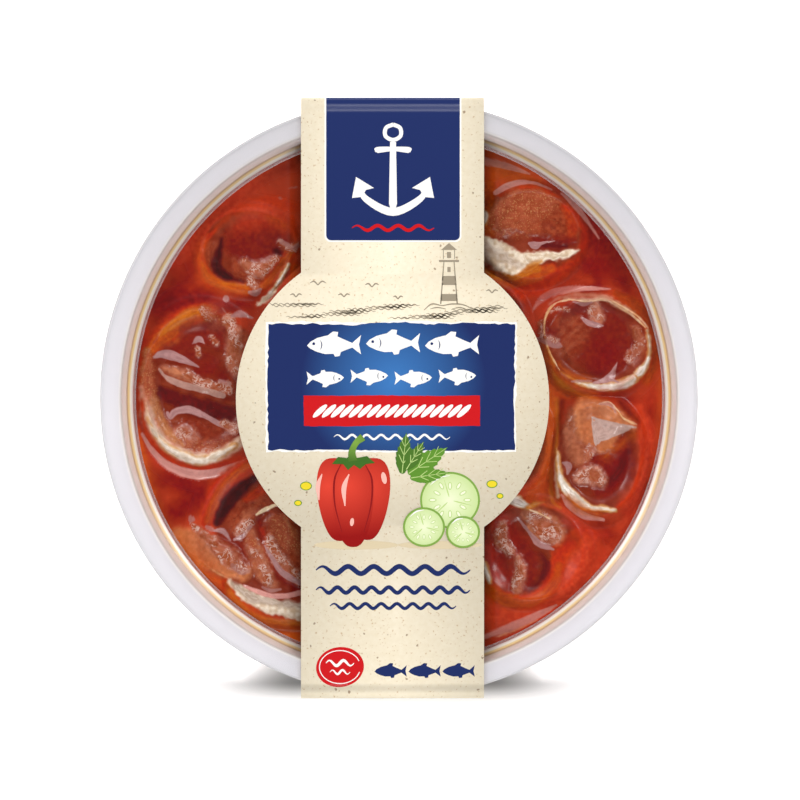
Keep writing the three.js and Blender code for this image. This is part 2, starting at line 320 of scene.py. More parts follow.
# How each kind of mark looks: colour, streak colour, edge and waver in pixels, how far it stands
# out in millimetres, how much of it is curls of white protein or golden dust, and its roughness
MARKS = {
    "deep": ("#80261F", "#721E1A", 22, 3, 0, 0, 0, WETTEST),
    "red": ("#B4342A", "#A62C25", 16, 3, 0, 0, 0, WETTEST),
    "blush": ("#C8482E", "#BA3C28", 18, 3, 0, 0, 0, 0.38),
    "glow": ("#DB6A2B", "#D05A26", 20, 3, 0, 0, 0, WETTEST),
    "amber": ("#AE4C1C", "#943E1A", 10, 3, 0, 0, 0, 0.36),
    "ember": ("#BC3A1E", "#A63018", 6, 2, 0.05, 0, 0, 0.42),
    "blaze": ("#B4501C", "#A0421A", 5, 1.5, 0.1, 0, 0.1, 0.4),
    "flesh": ("#96452F", "#7E3425", 10, 3, 0.3, 0, 0.2, 0.32),
    "flap": ("#C87A50", "#B06642", 8, 2, 0.5, 0, 0.2, 0.32),
    "pale": ("#BC7454", "#A05C42", 9, 3, 0.3, 0.05, 0.3, 0.32),
    "lump": ("#C27C64", "#A06450", 7, 2, 0.5, 0.3, 0.3, 0.3),
    "specks": ("#A8604A", "#90482F", 4, 3, 0.25, 1.0, 0.4, 0.3),
    "dust": ("#A2523A", "#90442E", 10, 3, 0.1, 0, 1.0, 0.34),
    "pool": ("#7E2C24", "#74261F", 12, 3, -0.04, 0, 0, 0.32),
    # Painted shade in the recesses and folds of the rolls
    "dark": ("#521C16", "#622218", 8, 2, -0.04, 0, 0, 0.36),
    # Painted shadow: dark crescents inside the rims of the rolls
    "violet": ("#3F1517", "#4E1E1C", 6, 1.5, -0.03, 0, 0, 0.42),
    "orange": ("#B4561C", "#9E461A", 4, 1.5, 0.1, 0, 0.1, 0.38),
    "gold": ("#C27630", "#AA5C24", 4, 1.5, 0.1, 0, 0.2, 0.34),
    "brass": ("#BC7A4C", "#9A5A38", 6, 2, 0.2, 0.1, 0.8, 0.3),
    "rim": ("#EBD3B0", "#D9A873", 1.0, 0.8, 0.3, 0, 0, 0.24),
    "silver": ("#F1ECE4", "#C4B6A6", 3.4, 2.2, 0.2, 0, 0.1, 0.36),
    "cream": ("#E8D8C4", "#C6AC90", 3.6, 3.0, 0.2, 0, 0.1, 0.36),
    "shell": ("#D8B8A0", "#B68A70", 4, 2.2, 0.2, 0, 0.15, 0.36),
    "tan": ("#CE8F7A", "#AE7058", 5, 2, 0.1, 0, 0.1, 0.36),
    "ash": ("#C2AFA0", "#A48C7C", 5, 3, 0, 0, 0, 0.34),
    "fringe": ("#C89058", "#AE703E", 3.0, 2.0, 0.1, 0, 0, 0.3),
    # Painted highlights: glints where the wet food reflects the light
    "glint": ("#AE8280", "#A07472", 0.9, 0.8, 0.15, 0, 0, WETTEST),
    # Painted highlights, paler and broader than the glints
    "veil": ("#BE9E94", "#AE8E84", 0.9, 0.8, 0.15, 0, 0, WETTEST),
    # Painted reflection: the pink band of light along the sauce's meniscus round a roll
    "band": ("#D2948A", "#C68880", 1.2, 0.5, 0.1, 0, 0, WETTEST),
}

# The mark that shows round another one, and how much wider it is
FRINGES = {"silver": ("fringe", 2.4), "orange": ("amber", 5.0), "blaze": ("ember", 3.0)}

# Marks on the sauce between the rolls, later ones over earlier ones. Each has its kind, its
# (x, y, width) points in pixels, and its strength where that is below 1.
SAUCE_MARKS = [
    ("deep", [(598, 226, 34), (612, 258, 38), (628, 290, 14)], 0.8),
    ("deep", [(588, 262, 14), (600, 282, 12), (585, 292, 8)]),
    ("red", [(240, 176, 30), (206, 216, 30), (176, 262, 20)], 0.6),
    ("blush", [(290, 160, 24), (248, 178, 30), (208, 222, 26), (180, 262, 14)], 0.8),
    ("deep", [(206, 246, 8), (184, 276, 20), (160, 312, 24)], 0.7),
    ("deep", [(168, 478, 20), (196, 494, 26), (176, 512, 20)], 0.95),
    ("deep", [(148, 470, 6), (160, 520, 10)], 0.6),
    ("deep", [(648, 480, 16), (634, 530, 26), (600, 566, 20)], 0.4),
    ("red", [(655, 390, 12), (650, 450, 16), (638, 510, 20)], 0.6),
    ("blush", [(640, 500, 16), (622, 548, 26), (590, 590, 24), (550, 618, 22), (500, 634, 20)], 0.7),
    ("deep", [(600, 524, 12), (612, 536, 10)], 0.6),
    ("deep", [(150, 300, 18), (176, 300, 26), (206, 298, 16)]),
    ("amber", [(500, 170, 14), (530, 182, 10), (566, 212, 6)], 0.6),
    ("glow", [(486, 152, 10), (500, 164, 18), (522, 172, 12), (540, 180, 4)], 0.5),
    ("glow", [(176, 578, 10), (194, 594, 14), (218, 608, 12)], 0.6),
    ("ember", [(145, 330, 6), (140, 380, 5), (138, 420, 4)], 0.8),
    ("glow", [(139, 430, 5), (144, 478, 8), (156, 530, 18),
              (184, 582, 32), (228, 624, 36), (292, 646, 30)]),
    ("gold", [(166, 574, 3), (190, 604, 6), (222, 630, 6), (262, 650, 5)], 0.45),
    ("glow", [(662, 380, 6), (661, 430, 6), (650, 480, 5)], 0.5),
    ("glow", [(663, 330, 4), (659, 300, 4)], 0.5),
]


def smooth(value, start, end):
    """0 before the start, 1 after the end, and a smooth step between them"""
    share = np.clip((value - start) / (end - start), 0, 1)
    return share * share * (3 - 2 * share)


def cloud(x, y, size, seed):
    """Smooth random values from -1 to 1 that change over about this size"""
    cells = 64
    table = np.random.default_rng(seed).uniform(-1, 1, (cells, cells))
    column, row = np.floor(x / size).astype(int), np.floor(y / size).astype(int)
    right = smooth(x / size - column, 0, 1)
    down = smooth(y / size - row, 0, 1)
    here, next_column = column % cells, (column + 1) % cells
    above, below = row % cells, (row + 1) % cells
    upper = table[here, above] * (1 - right) + table[next_column, above] * right
    lower = table[here, below] * (1 - right) + table[next_column, below] * right
    return upper * (1 - down) + lower * down


def curve_through(points, steps=6):
    """More points on a smooth curve through (x, y, width) points"""
    points = np.array(points, float)
    if len(points) == 1:
        points = np.vstack([points, points + (0.01, 0, 0)])
    ends = [2 * points[0] - points[1], *points, 2 * points[-1] - points[-2]]
    curve = [points[0]]
    for before, start, end, after in zip(ends, ends[1:], ends[2:], ends[3:]):
        for t in np.linspace(0, 1, steps + 1)[1:]:
            bend = 2 * before - 5 * start + 4 * end - after
            turn = 3 * start - before - 3 * end + after
            curve.append(0.5 * (2 * start + (end - before) * t + bend * t**2 + turn * t**3))
    return curve


def stroke(x, y, points):
    """How far places lie outside a stroke of changing width, and where they are along it"""
    outside = np.full(x.shape, 1e3)
    along = np.zeros(x.shape)
    length = 0.0
    curve = curve_through(points)
    for (ax, ay, aw), (bx, by, bw) in zip(curve, curve[1:]):
        span = math.hypot(bx - ax, by - ay) + 1e-6
        share = np.clip(((x - ax) * (bx - ax) + (y - ay) * (by - ay)) / span**2, 0, 1)
        gap = np.hypot(x - ax - share * (bx - ax), y - ay - share * (by - ay))
        gap -= (aw + share * (bw - aw)) / 2
        nearer = gap < outside
        outside[nearer] = gap[nearer]
        along[nearer] = (length + share * span)[nearer]
        length += span
    return outside, along


class Food:
    """Colours, heights, curls and roughness of the food at places of the view from above"""

    def __init__(self, x_mm, y_mm):
        self.x = PHOTO_CENTRE[0] + x_mm / PHOTO_MM
        self.y = PHOTO_CENTRE[1] - y_mm / PHOTO_MM
        count = len(x_mm)
        self.colour = np.zeros((count, 3))
        self.height = np.zeros(count)
        edge = wall_radius(SAUCE_LEVEL)
        climb = smooth(np.hypot(x_mm, y_mm), edge - 1.6, edge)
        self.level = 0.1 * climb + 0.06 * cloud(self.x, self.y, 30, 3)
        self.curl = np.zeros(count)
        self.dust = np.zeros(count)
        self.rough = np.full(count, WETTEST)

    def tint(self, where, mask, code, streak, grain):
        """Mixes a colour in, with its streaks"""
        two = [np.array([int(c[i : i + 2], 16) / 255 for i in (1, 3, 5)]) for c in (code, streak)]
        colour = two[0] + (two[1] - two[0]) * grain[:, None]
        self.colour[where] += (colour - self.colour[where]) * mask[:, None]

    def mark(self, kind, points, strength=1):
        """Lays one kind of mark along (x, y, width) points"""
        if kind in FRINGES:
            under, extra = FRINGES[kind]
            self.mark(under, [(x, y, width + extra) for x, y, width in points], strength)
        code, streak, edge, waver, lift, curl, dust, rough = MARKS[kind]
        path = np.array(points, float)
        margin = path[:, 2].max() / 2 + edge + waver + 4
        low, high = path[:, :2].min(0) - margin, path[:, :2].max(0) + margin
        inside = (self.x > low[0]) & (self.x < high[0]) & (self.y > low[1]) & (self.y < high[1])
        where = np.flatnonzero(inside)
        if not len(where):
            return
        x, y = self.x[where], self.y[where]
        outside, along = stroke(x, y, points)
        seed = int(path.sum()) % 997
        outside += waver * (0.6 * cloud(x, y, 9, seed) + 0.4 * cloud(x, y, 3.2, seed + 1))
        mask = strength * (1 - smooth(outside, -edge / 2, edge / 2))
        narrow = 1 - smooth(path[:, 2].max(), 9, 22)
        streaks = cloud(along / 14, outside / 1.3, 1, seed + 2)
        spots = cloud(x, y, 3, seed + 3)
        grain = smooth(0.5 + 0.35 * narrow * streaks + (0.4 - 0.25 * narrow) * spots, 0.2, 0.8)
        self.tint(where, mask, code, streak, grain)
        soft = max(edge, 9)
        self.height[where] += lift * strength * (1 - smooth(outside, -soft / 2, soft / 2))
        self.curl[where] += (curl - self.curl[where]) * mask
        self.dust[where] += (dust - self.dust[where]) * mask
        self.rough[where] += (rough - self.rough[where]) * mask


def food_at(x_mm, y_mm):
    """The food's top surface at some places: the sauce, then each roll's bowl, then the marks"""
    food = Food(x_mm, y_mm)
    everywhere = np.arange(len(x_mm))
    drift = 0.5 + 0.5 * cloud(food.x, food.y, 34, 5)
    food.tint(everywhere, np.ones(len(x_mm)), "#B6462E", "#A03726", drift)
    for kind, points, *strength in SAUCE_MARKS:
        food.mark(kind, points, *strength)
    for x, y, a, b, rim, depth in ROLLS.values():
        share = np.hypot((x_mm - x) / a, (y_mm - y) / b)
        near = np.flatnonzero(share < 1.6)
        share = share[near]
        bowl = rim * (1 - depth + depth * smooth(share, 0.64, 0.96))
        food.height[near] = np.maximum(food.height[near], bowl * (1 - smooth(share, 0.9, 1.22)))
        slope_zone = smooth(share, 0.6, 0.8) * (1 - smooth(share, 1.25, 1.4))
        food.rough[near] = np.maximum(food.rough[near], WETTEST + 0.26 * slope_zone)
        flesh = 1 - smooth(share, 0.9, 0.99)
        grain = 0.5 + 0.5 * cloud(food.x[near], food.y[near], 7, 11)
        food.tint(near, flesh, "#8C4130", "#702B20", grain)
        food.height[near] += 0.16 * flesh * cloud(food.x[near], food.y[near], 11, 12)
    for marks in FOOD_MARKS:
        for kind, points, *strength in marks:
            food.mark(kind, points, *strength)
    return food


# What is seen on the rolls from above, roll by roll, with painted glints, highlights and shade among the
# marks
ROLL_1_MARKS = [
    ("amber", [(617, 292, 6), (636, 304, 9), (650, 320, 9),
               (657, 340, 9), (656, 360, 9), (648, 380, 8)], 0.8),
    ("orange", [(543, 344, 4), (547, 362, 7), (556, 378, 9), (570, 390, 8), (588, 396, 4), (612, 399, -6)]),
    ("gold", [(551, 366, -2), (558, 380, 5), (570, 389, 4), (586, 393, -5)], 0.8),
    ("pool", [(556, 330, 30), (580, 326, 50), (604, 340, 66), (612, 350, 50)], 0.9),
    ("flesh", [(560, 322, 14), (574, 330, 30), (572, 348, 20)], 0.7),
    ("pale", [(552, 340, 1.5), (564, 330, 2), (580, 316, 1.5)], 0.4),
    ("pale", [(554, 350, 1.5), (570, 336, 2), (588, 320, 1.5)], 0.4),
    ("pale", [(560, 356, 1.5), (578, 340, 2), (592, 328, 1.5)], 0.35),
    ("dark", [(580, 372, 8), (600, 374, 10)], 0.45),
    ("deep", [(600, 344, 10), (608, 354, 22), (600, 366, 10)], 0.6),
    ("orange", [(560, 365, 2), (572, 375, 4), (588, 381, 3)], 0.6),
    ("flesh", [(632, 326, 6), (641, 344, 10), (634, 362, 10)], 0.8),
    ("lump", [(597, 306, 10), (598, 316, 16)], 0.9),
    ("glint", [(582, 317.5, 1.5), (589, 322.5, 5), (598, 325, 4.5), (604, 325.5, 1.5)]),
    ("specks", [(592, 311, 8), (600, 317, 9)]),
    ("specks", [(551, 311, 4), (558, 309, 4), (568, 310, 3)], 0.8),
    ("specks", [(637, 330, 7), (640, 345, 9), (629, 359, 9)], 0.7),
    ("specks", [(541, 322, 3), (543, 336, 4)], 0.9),
    ("rim", [(560, 370, 1), (549, 350, 1.4), (544.6, 330, 1.6),
             (547, 314, 1.6), (556, 303, 1.8), (570, 299, 2)]),
    ("rim", [(570, 299, 2), (588, 301, 1.6), (606, 299.5, 2),
             (620, 307, 2), (634, 316, 2), (646, 327, 1.4)], 0.9),
    ("shell", [(566, 298, 2), (588, 299, 3), (606, 298, 4),
               (622, 306, 4.5), (637, 315, 4), (648, 327, 1)], 0.8),
    ("amber", [(614, 301, 1), (622, 305, 1.5)], 0.7),
    ("amber", [(631, 311, 1), (638, 315, 1.5)], 0.7),
    ("rim", [(612, 300, 1), (626, 308, 1.2), (640, 317, 1.2), (649, 328, 1)], 0.7),
    ("gold", [(548, 348, 1.4), (556, 366, 1.8), (570, 377, 1.8), (590, 385, 2)]),
    ("band", [(533, 310, 1), (541, 300, 6), (552, 293, 8),
              (566, 289.5, 7), (586, 288, 5), (611, 288.5, 1.5)], 0.85),
    ("tan", [(551, 303, 2), (560, 297.5, 4), (576, 294.5, 5), (594, 295, 5), (612, 298, 3)], 0.75),
    ("glint", [(574, 301.5, 2), (584, 304, 3.5), (592, 302, 1.5)], 0.8),
    ("silver", [(648, 330, 1), (650.5, 346, 2), (648.5, 360, 4), (643, 370, 6), (634, 379, 7)]),
    ("silver", [(634, 379, 7), (622, 385, 8), (608, 387, 7), (594, 386, 4.5), (578, 382, 1.5)]),
    ("tan", [(642, 368, 1), (632, 377, 2), (620, 382, 2), (606, 383, 1)], 0.6),
    ("glint", [(618, 362, 0.8), (615, 370, 4), (611, 377, 8), (602, 381, 5), (594, 383, 1.5)]),
    ("glint", [(611, 379, 3), (619, 382, 1.5)]),
    ("dark", [(617, 371, 0.5), (618, 374, 2)], 0.8),
    ("glint", [(572, 381.5, 1.5), (583, 381, 3.5), (592, 381, 1.5)], 0.7),
    ("glint", [(538, 338.5, 3), (548, 341.5, 6.5), (557, 344.5, 6.5), (562, 346, 2)], 0.75),
    ("specks", [(543, 336, 5), (556, 340, 6)], 0.8),
    ("glint", [(626, 359, 3)], 0.6),
]
ROLL_2_MARKS = [
    ("deep", [(604, 395, 6), (622, 398, 14), (640, 404, 16), (652, 414, 8)], 0.85),
    ("amber", [(552, 392, 8), (553, 420, 8), (550, 450, 8), (552, 500, 12)], 0.9),
    ("gold", [(557, 400, 4), (558, 430, 4), (556, 452, 4)], 0.9),
    ("dark", [(562, 402, 4), (560, 425, 3), (563, 444, 2)], 0.7),
    ("cream", [(557, 449, 1.5), (556.5, 470, 3), (558.5, 497, 2)], 0.7),
    ("gold", [(551, 470, 3), (553, 500, 3), (561, 508, 2)], 0.7),
    ("blush", [(640, 408, 10), (647, 440, 14), (643, 475, 14), (628, 503, 10)]),
    ("pool", [(600, 466, 30), (618, 468, 38), (624, 448, 16), (604, 492, 20)]),
    ("deep", [(620, 462, 8), (616, 486, 12)], 0.6),
    ("dark", [(628, 452, 4), (622, 468, 10), (612, 482, 8)], 0.7),
    ("pale", [(574, 410, 12), (574, 436, 20), (580, 458, 18)], 0.75),
    ("flap", [(586, 408, 22), (598, 424, 44), (602, 438, 30)]),
    ("flap", [(606, 412, 20), (620, 422, 18), (634, 426, 8)]),
    ("dust", [(590, 410, 20), (594, 440, 26)], 0.25),
    ("orange", [(606, 457, 3), (620, 446, 5), (635, 434, 3)], 0.45),
    ("veil", [(592.5, 417, 1.2), (600, 421, 5), (614, 425, 6), (637, 427.5, 1)]),
    ("veil", [(593, 418, 2), (594.5, 430, 4), (596.5, 445, 2)]),
    ("veil", [(596, 424, 7), (599, 434, 10), (598, 442, 6)]),
    ("veil", [(602, 430, 17), (611, 431, 13), (621, 430, 8), (630, 428, 3)]),
    ("veil", [(600, 438, 7), (607, 436, 8), (616, 431, 7)]),
    ("glint", [(600, 404, 2), (607, 403.5, 4), (613, 406, 4), (616, 412, 2)], 0.6),
    ("rim", [(600, 403.5, 0.8), (610, 402, 1.2), (618, 410, 1.3),
             (625, 419, 1.6), (637.5, 424.5, 1.6)], 0.8),
    ("dark", [(621, 402, 3), (629, 412, 5), (640, 421, 2)], 0.6),
    ("glint", [(590, 444, 2.5), (588, 451, 3), (590, 457, 3)], 0.7),
    ("specks", [(592, 449, 9), (588, 459, 6)]),
    ("lump", [(581, 478, 14), (592, 475, 20), (602, 482, 12)]),
    ("glint", [(587, 469, 2), (592, 469.5, 5), (596, 471, 2)], 0.7),
    ("specks", [(582, 476, 10), (593, 476, 14), (600, 483, 8)]),
    ("specks", [(572, 416, 2), (571, 426, 2)], 0.9),
    ("ember", [(640, 412, 1.5), (645, 430, 2), (645, 450, 2),
               (640, 472, 2), (631, 494, 2), (618, 507, 2)], 0.8),
    ("silver", [(558, 452, 2), (559.5, 470, 4), (563, 484, 7.5),
                (574, 497, 9), (590, 507, 5), (616, 510.5, 2)]),
    ("glint", [(563.5, 463, 2), (569, 466, 7), (568, 474, 1.5)], 0.9),
    ("red", [(566, 522, 6), (590, 534, 8), (606, 536, 4)], 0.7),
    ("band", [(562, 495, 2), (571, 506, 7), (585, 516, 7), (604, 520, 3)]),
    ("orange", [(568, 498, 1.5), (580, 508, 2), (598, 515, 2)], 0.7),
    ("glow", [(547, 384, 5), (551, 402, 8), (550, 430, 8),
              (547, 458, 7), (539, 484, 9), (528, 504, 9)], 0.8),
]
ROLL_3_MARKS = [
    ("amber", [(486, 186, 16), (490, 205, 20), (490, 228, 16)], 0.9),
    ("glow", [(484, 170, 12), (500, 176, 14), (520, 177, 6)], 0.5),
    ("deep", [(520, 306, 12), (540, 300, 16), (562, 286, 16), (584, 268, 10)], 0.5),
    ("ember", [(500, 286, 12), (524, 288, 20), (552, 278, 16), (578, 260, 6)], 0.8),
    ("blaze", [(484, 276, 14), (505, 280, 16), (532, 276, 14), (552, 268, 7)], 0.9),
    ("gold", [(484, 270, 8), (500, 275, 8), (518, 275, 8), (538, 269, 6)], 0.75),
    ("flesh", [(512, 212, 40), (536, 212, 46), (560, 222, 38), (572, 236, 12)]),
    ("pale", [(504, 216, 30), (518, 204, 30), (540, 199, 18)], 0.8),
    ("ember", [(564, 206, 8), (574, 220, 14), (572, 234, 10)], 0.5),
    ("dust", [(500, 222, 26), (522, 206, 36), (548, 202, 20)]),
    ("dust", [(504, 232, 12), (530, 226, 20)], 0.6),
    ("pool", [(532, 238, 6), (550, 242, 12), (572, 240, 10)]),
    ("dark", [(541, 244, 2.5), (552, 245, 5), (568, 246, 4)]),
    ("ember", [(566, 206, 3), (578, 215, 4), (587, 234, 4), (583, 250, 3)], 0.9),
    ("cream", [(478, 246, 20), (488, 250, 26), (507, 259, 26), (518, 262, 20), (531, 259, 12)]),
    ("cream", [(530, 257, 14), (546, 256, 12), (562, 255, 8), (579, 250, 2)]),
    ("ash", [(484, 246, 10), (498, 254, 12), (512, 262, 10), (524, 268, 5)], 0.55),
    ("gold", [(524, 271, 5), (533, 266, 7), (542, 261, 3)], 0.8),
    ("glint", [(530, 243, 2), (536, 245, 7.5), (543, 242.5, 3.5), (555, 240.5, 1)]),
    ("band", [(496, 192, 5), (507, 185.5, 6), (521, 181.5, 5), (536, 182.5, 3), (552, 189, 1.5)], 0.9),
    ("band", [(562, 193, 2), (573, 202, 6), (584, 215, 5), (600, 238, 1)], 0.9),
    ("ember", [(500, 195, 1.5), (520, 187, 2), (540, 187, 2), (560, 197, 1.5)], 0.8),
    ("band", [(485, 160, 8), (510, 166, 6), (530, 173, 1.5)], 0.75),
    ("silver", [(481, 207, 2), (486, 214, 5), (485, 222, 2)], 0.8),
]
ROLL_4_MARKS = [
    ("blush", [(484, 616, 18), (530, 616, 18), (566, 600, 14), (596, 574, 14), (610, 556, 10)], 0.9),
    ("blaze", [(486, 588, 9), (500, 598, 11), (520, 603, 12)]),
    ("ember", [(520, 603, 12), (542, 594, 14), (554, 578, 14), (559, 560, 14), (572, 546, 10)], 0.9),
    ("ember", [(562, 552, 22), (576, 542, 24), (590, 534, 14)], 0.6),
    ("blush", [(566, 590, 16), (578, 568, 26), (588, 548, 18)]),
    ("blaze", [(494, 597, 6), (510, 604, 9), (530, 603, 10),
               (546, 594, 9), (556, 580, 9), (560, 566, 7)], 0.7),
    ("glow", [(492, 598, 4), (508, 603, 7), (526, 604, 6), (542, 597, 4)], 0.4),
    ("pool", [(486, 530, 16), (494, 556, 26), (506, 578, 18), (524, 588, 10)]),
    ("deep", [(492, 520, 10), (510, 534, 20), (522, 556, 16)], 0.7),
    ("red", [(490, 508, 12), (510, 530, 18), (522, 556, 16), (514, 586, 14)], 0.45),
    ("flesh", [(490, 524, 14), (498, 544, 14)], 0.3),
    ("red", [(490, 548, 8), (494, 566, 14), (500, 582, 10)], 0.7),
    ("glow", [(486, 589, 5), (496, 592, 8)], 0.6),
    ("pool", [(524, 548, 12), (532, 566, 18), (528, 582, 12)]),
    ("lump", [(503, 524, 7), (501, 541, 13), (510, 552, 9)]),
    ("glint", [(508, 521, 1.5), (504, 524, 4), (503, 530, 2)], 0.6),
    ("glint", [(496, 539, 3), (504, 547, 4), (511, 553, 6)], 0.55),
    ("specks", [(503, 526, 8), (502, 541, 12), (510, 551, 8)]),
    ("lump", [(519, 558, 7), (521, 574, 10), (518, 589, 9)]),
    ("glint", [(517, 586, 4), (513, 582, 2), (518, 591, 4)], 0.65),
    ("specks", [(518, 560, 6), (520, 574, 9), (517, 588, 9)]),
    ("pale", [(530, 516, 16), (544, 526, 28), (556, 536, 18)]),
    ("tan", [(534, 518, 8), (545, 528, 16), (552, 538, 8)], 0.5),
    ("specks", [(534, 517, 14), (546, 526, 20), (556, 534, 14)]),
    ("specks", [(538, 532, 8), (548, 538, 8)]),
    ("glint", [(518, 518, 1.5), (529, 532, 4), (540, 544.5, 7), (554, 550, 2)], 0.9),
    ("dark", [(541, 553, 3), (547, 566, 8), (540, 582, 7), (529, 592, 3.5)], 0.85),
    ("silver", [(506, 500, 5), (516, 501, 9), (527, 507, 5)]),
    ("gold", [(528, 508, 4), (537, 504, 6), (544, 502.5, 2)]),
    ("rim", [(530, 510, 1), (540, 514, 1.4), (550, 519, 1)], 0.8),
    ("silver", [(484, 564, 4), (487, 574, 6), (490, 583, 3)], 0.9),
    ("band", [(484, 638, 4), (510, 628.5, 8), (536, 617, 7), (557, 606, 2)], 0.8),
    ("rim", [(490, 640, 1), (514, 632, 1.6), (538, 621, 1)], 0.5),
]
ROLL_5_MARKS = [
    ("pool", [(150, 356, 10), (176, 342, 20), (200, 330, 20), (216, 326, 14)]),
    ("amber", [(150, 352, 12), (172, 332, 22), (190, 321, 22), (206, 311, 12)]),
    ("blaze", [(148, 350, 8), (159, 339, 14), (173, 327, 17),
               (187, 317, 16), (199, 311, 12), (209, 308, 6)]),
    ("gold", [(160, 334, 4), (174, 323, 8), (188, 314, 9), (200, 310, 5)], 0.6),
    ("deep", [(214, 304, 8), (230, 302, 14), (248, 304, 14)], 0.85),
    ("dark", [(222, 310, 8), (234, 308, 10)], 0.4),
    ("specks", [(203, 308, 6), (209, 317, 8)], 0.9),
    ("dust", [(208, 312, 14), (216, 322, 12)], 0.6),
    ("pool", [(188, 334, 16), (206, 334, 24), (226, 338, 30)], 0.9),
    ("pool", [(166, 352, 14), (192, 356, 18), (212, 362, 16)], 0.8),
    ("pale", [(214, 328, 8), (226, 322, 12)], 0.2),
    ("flesh", [(238, 340, 24), (244, 372, 20)]),
    ("lump", [(235, 330, 12), (232, 350, 14), (238, 370, 14)], 0.8),
    ("specks", [(228, 320, 10), (234, 342, 14), (232, 364, 16)]),
    ("specks", [(211, 336, 5), (216, 344, 5)], 0.8),
    ("glint", [(191.5, 343.5, 1.5), (198, 339, 7), (204, 343.5, 1.5)]),
    ("specks", [(196, 348, 5), (197, 354, 4)]),
    ("tan", [(224, 318.5, 1.5), (231, 317, 4), (237, 316, 3)], 0.8),
    ("glint", [(231, 316, 2), (240, 313.5, 7), (251.5, 317.5, 1.5)], 0.9),
    ("glint", [(222, 308, 2), (227, 315, 2)], 0.4),
    ("glint", [(225.3, 298.4, 7)], 0.9),
    ("dark", [(158, 392, 12), (176, 400, 16), (200, 408, 20), (228, 414, 16)], 0.9),
    ("deep", [(196, 372, 6), (212, 372, 10), (224, 378, 6)], 0.8),
    ("pale", [(163, 368, 5), (178, 373, 12), (193, 380, 7)]),
    ("specks", [(186, 374, 8), (196, 382, 9), (214, 388, 12)]),
    ("glint", [(153.5, 357, 4), (160, 354, 7), (168, 354.5, 9.5),
               (180, 358.5, 8), (190, 363, 4), (198, 367, 1)]),
    ("veil", [(158.5, 369, 2), (165, 377, 4), (177, 383, 7), (198, 389, 6), (222, 395.5, 6)], 0.75),
    ("specks", [(214, 385, 8), (226, 388, 12)]),
    ("glint", [(219, 381, 4), (228, 384, 5)], 0.6),
    ("flesh", [(166, 428, 12), (190, 436, 30), (220, 442, 26)]),
    ("pool", [(186, 424, 10), (206, 432, 14), (220, 440, 10)], 0.5),
    ("dust", [(170, 440, 12), (196, 450, 14), (224, 444, 12)], 0.7),
    ("specks", [(168, 444, 8), (192, 454, 8), (218, 450, 9)], 0.8),
    ("lump", [(182, 433, 16), (190, 436, 16)], 0.5),
    ("glint", [(179, 434, 8), (184, 428, 8), (190, 430, 5), (188, 438, 4)], 0.55),
    ("specks", [(183, 433, 14)], 0.7),
    ("glint", [(166.5, 413, 2.5), (169.5, 417.5, 4), (175, 411.5, 7), (188, 410, 7.5), (203, 415, 5.5)]),
    ("glint", [(203, 415, 5.5), (217, 423, 5), (233, 430, 6)]),
    ("specks", [(222, 424, 8), (234, 430, 9)]),
    ("brass", [(146, 350, 6), (145, 372, 10), (147, 392, 12), (150, 408, 12)], 0.9),
    ("dust", [(147, 356, 8), (147, 376, 12), (148, 396, 12)]),
    ("brass", [(156, 400, 6), (160, 420, 8), (170, 436, 8)], 0.8),
    ("tan", [(140, 388, 3), (144, 408, 12), (149, 424, 15),
             (160, 440, 14), (176, 452, 12), (196, 460, 10)]),
    ("tan", [(196, 460, 10), (216, 457, 11), (232, 448, 12), (246, 439, 10)]),
    ("brass", [(151, 398, 5), (158, 416, 7), (168, 434, 7), (182, 446, 4)], 0.8),
    ("shell", [(144, 404, 3), (148, 420, 7), (156, 436, 9), (172, 450, 9), (196, 459, 9)]),
    ("shell", [(196, 459, 9), (216, 456, 10), (232, 447, 11), (246, 438, 9)]),
    ("silver", [(146, 418, 1), (154, 434, 3), (170, 450, 6),
                (196, 461, 8), (214, 457, 6), (234, 446, 5)], 0.85),
    ("ash", [(150, 408, 3), (153, 424, 4), (162, 437, 3)], 0.5),
    ("red", [(139, 424, 3), (148, 448, 4), (166, 466, 5),
             (196, 474, 5), (226, 468, 5), (246, 458, 4)], 0.9),
    ("ember", [(141, 400, 3), (143, 424, 3), (156, 448, 3),
               (180, 466, 3), (210, 468, 3), (240, 458, 3)], 0.9),
    ("band", [(141, 434, 2), (150, 449, 5), (162, 462, 7.5), (178, 471, 9), (197, 475.5, 9.5)]),
    ("band", [(197, 475.5, 9.5), (217, 473, 9), (236, 466, 7), (252, 458, 5)]),
]
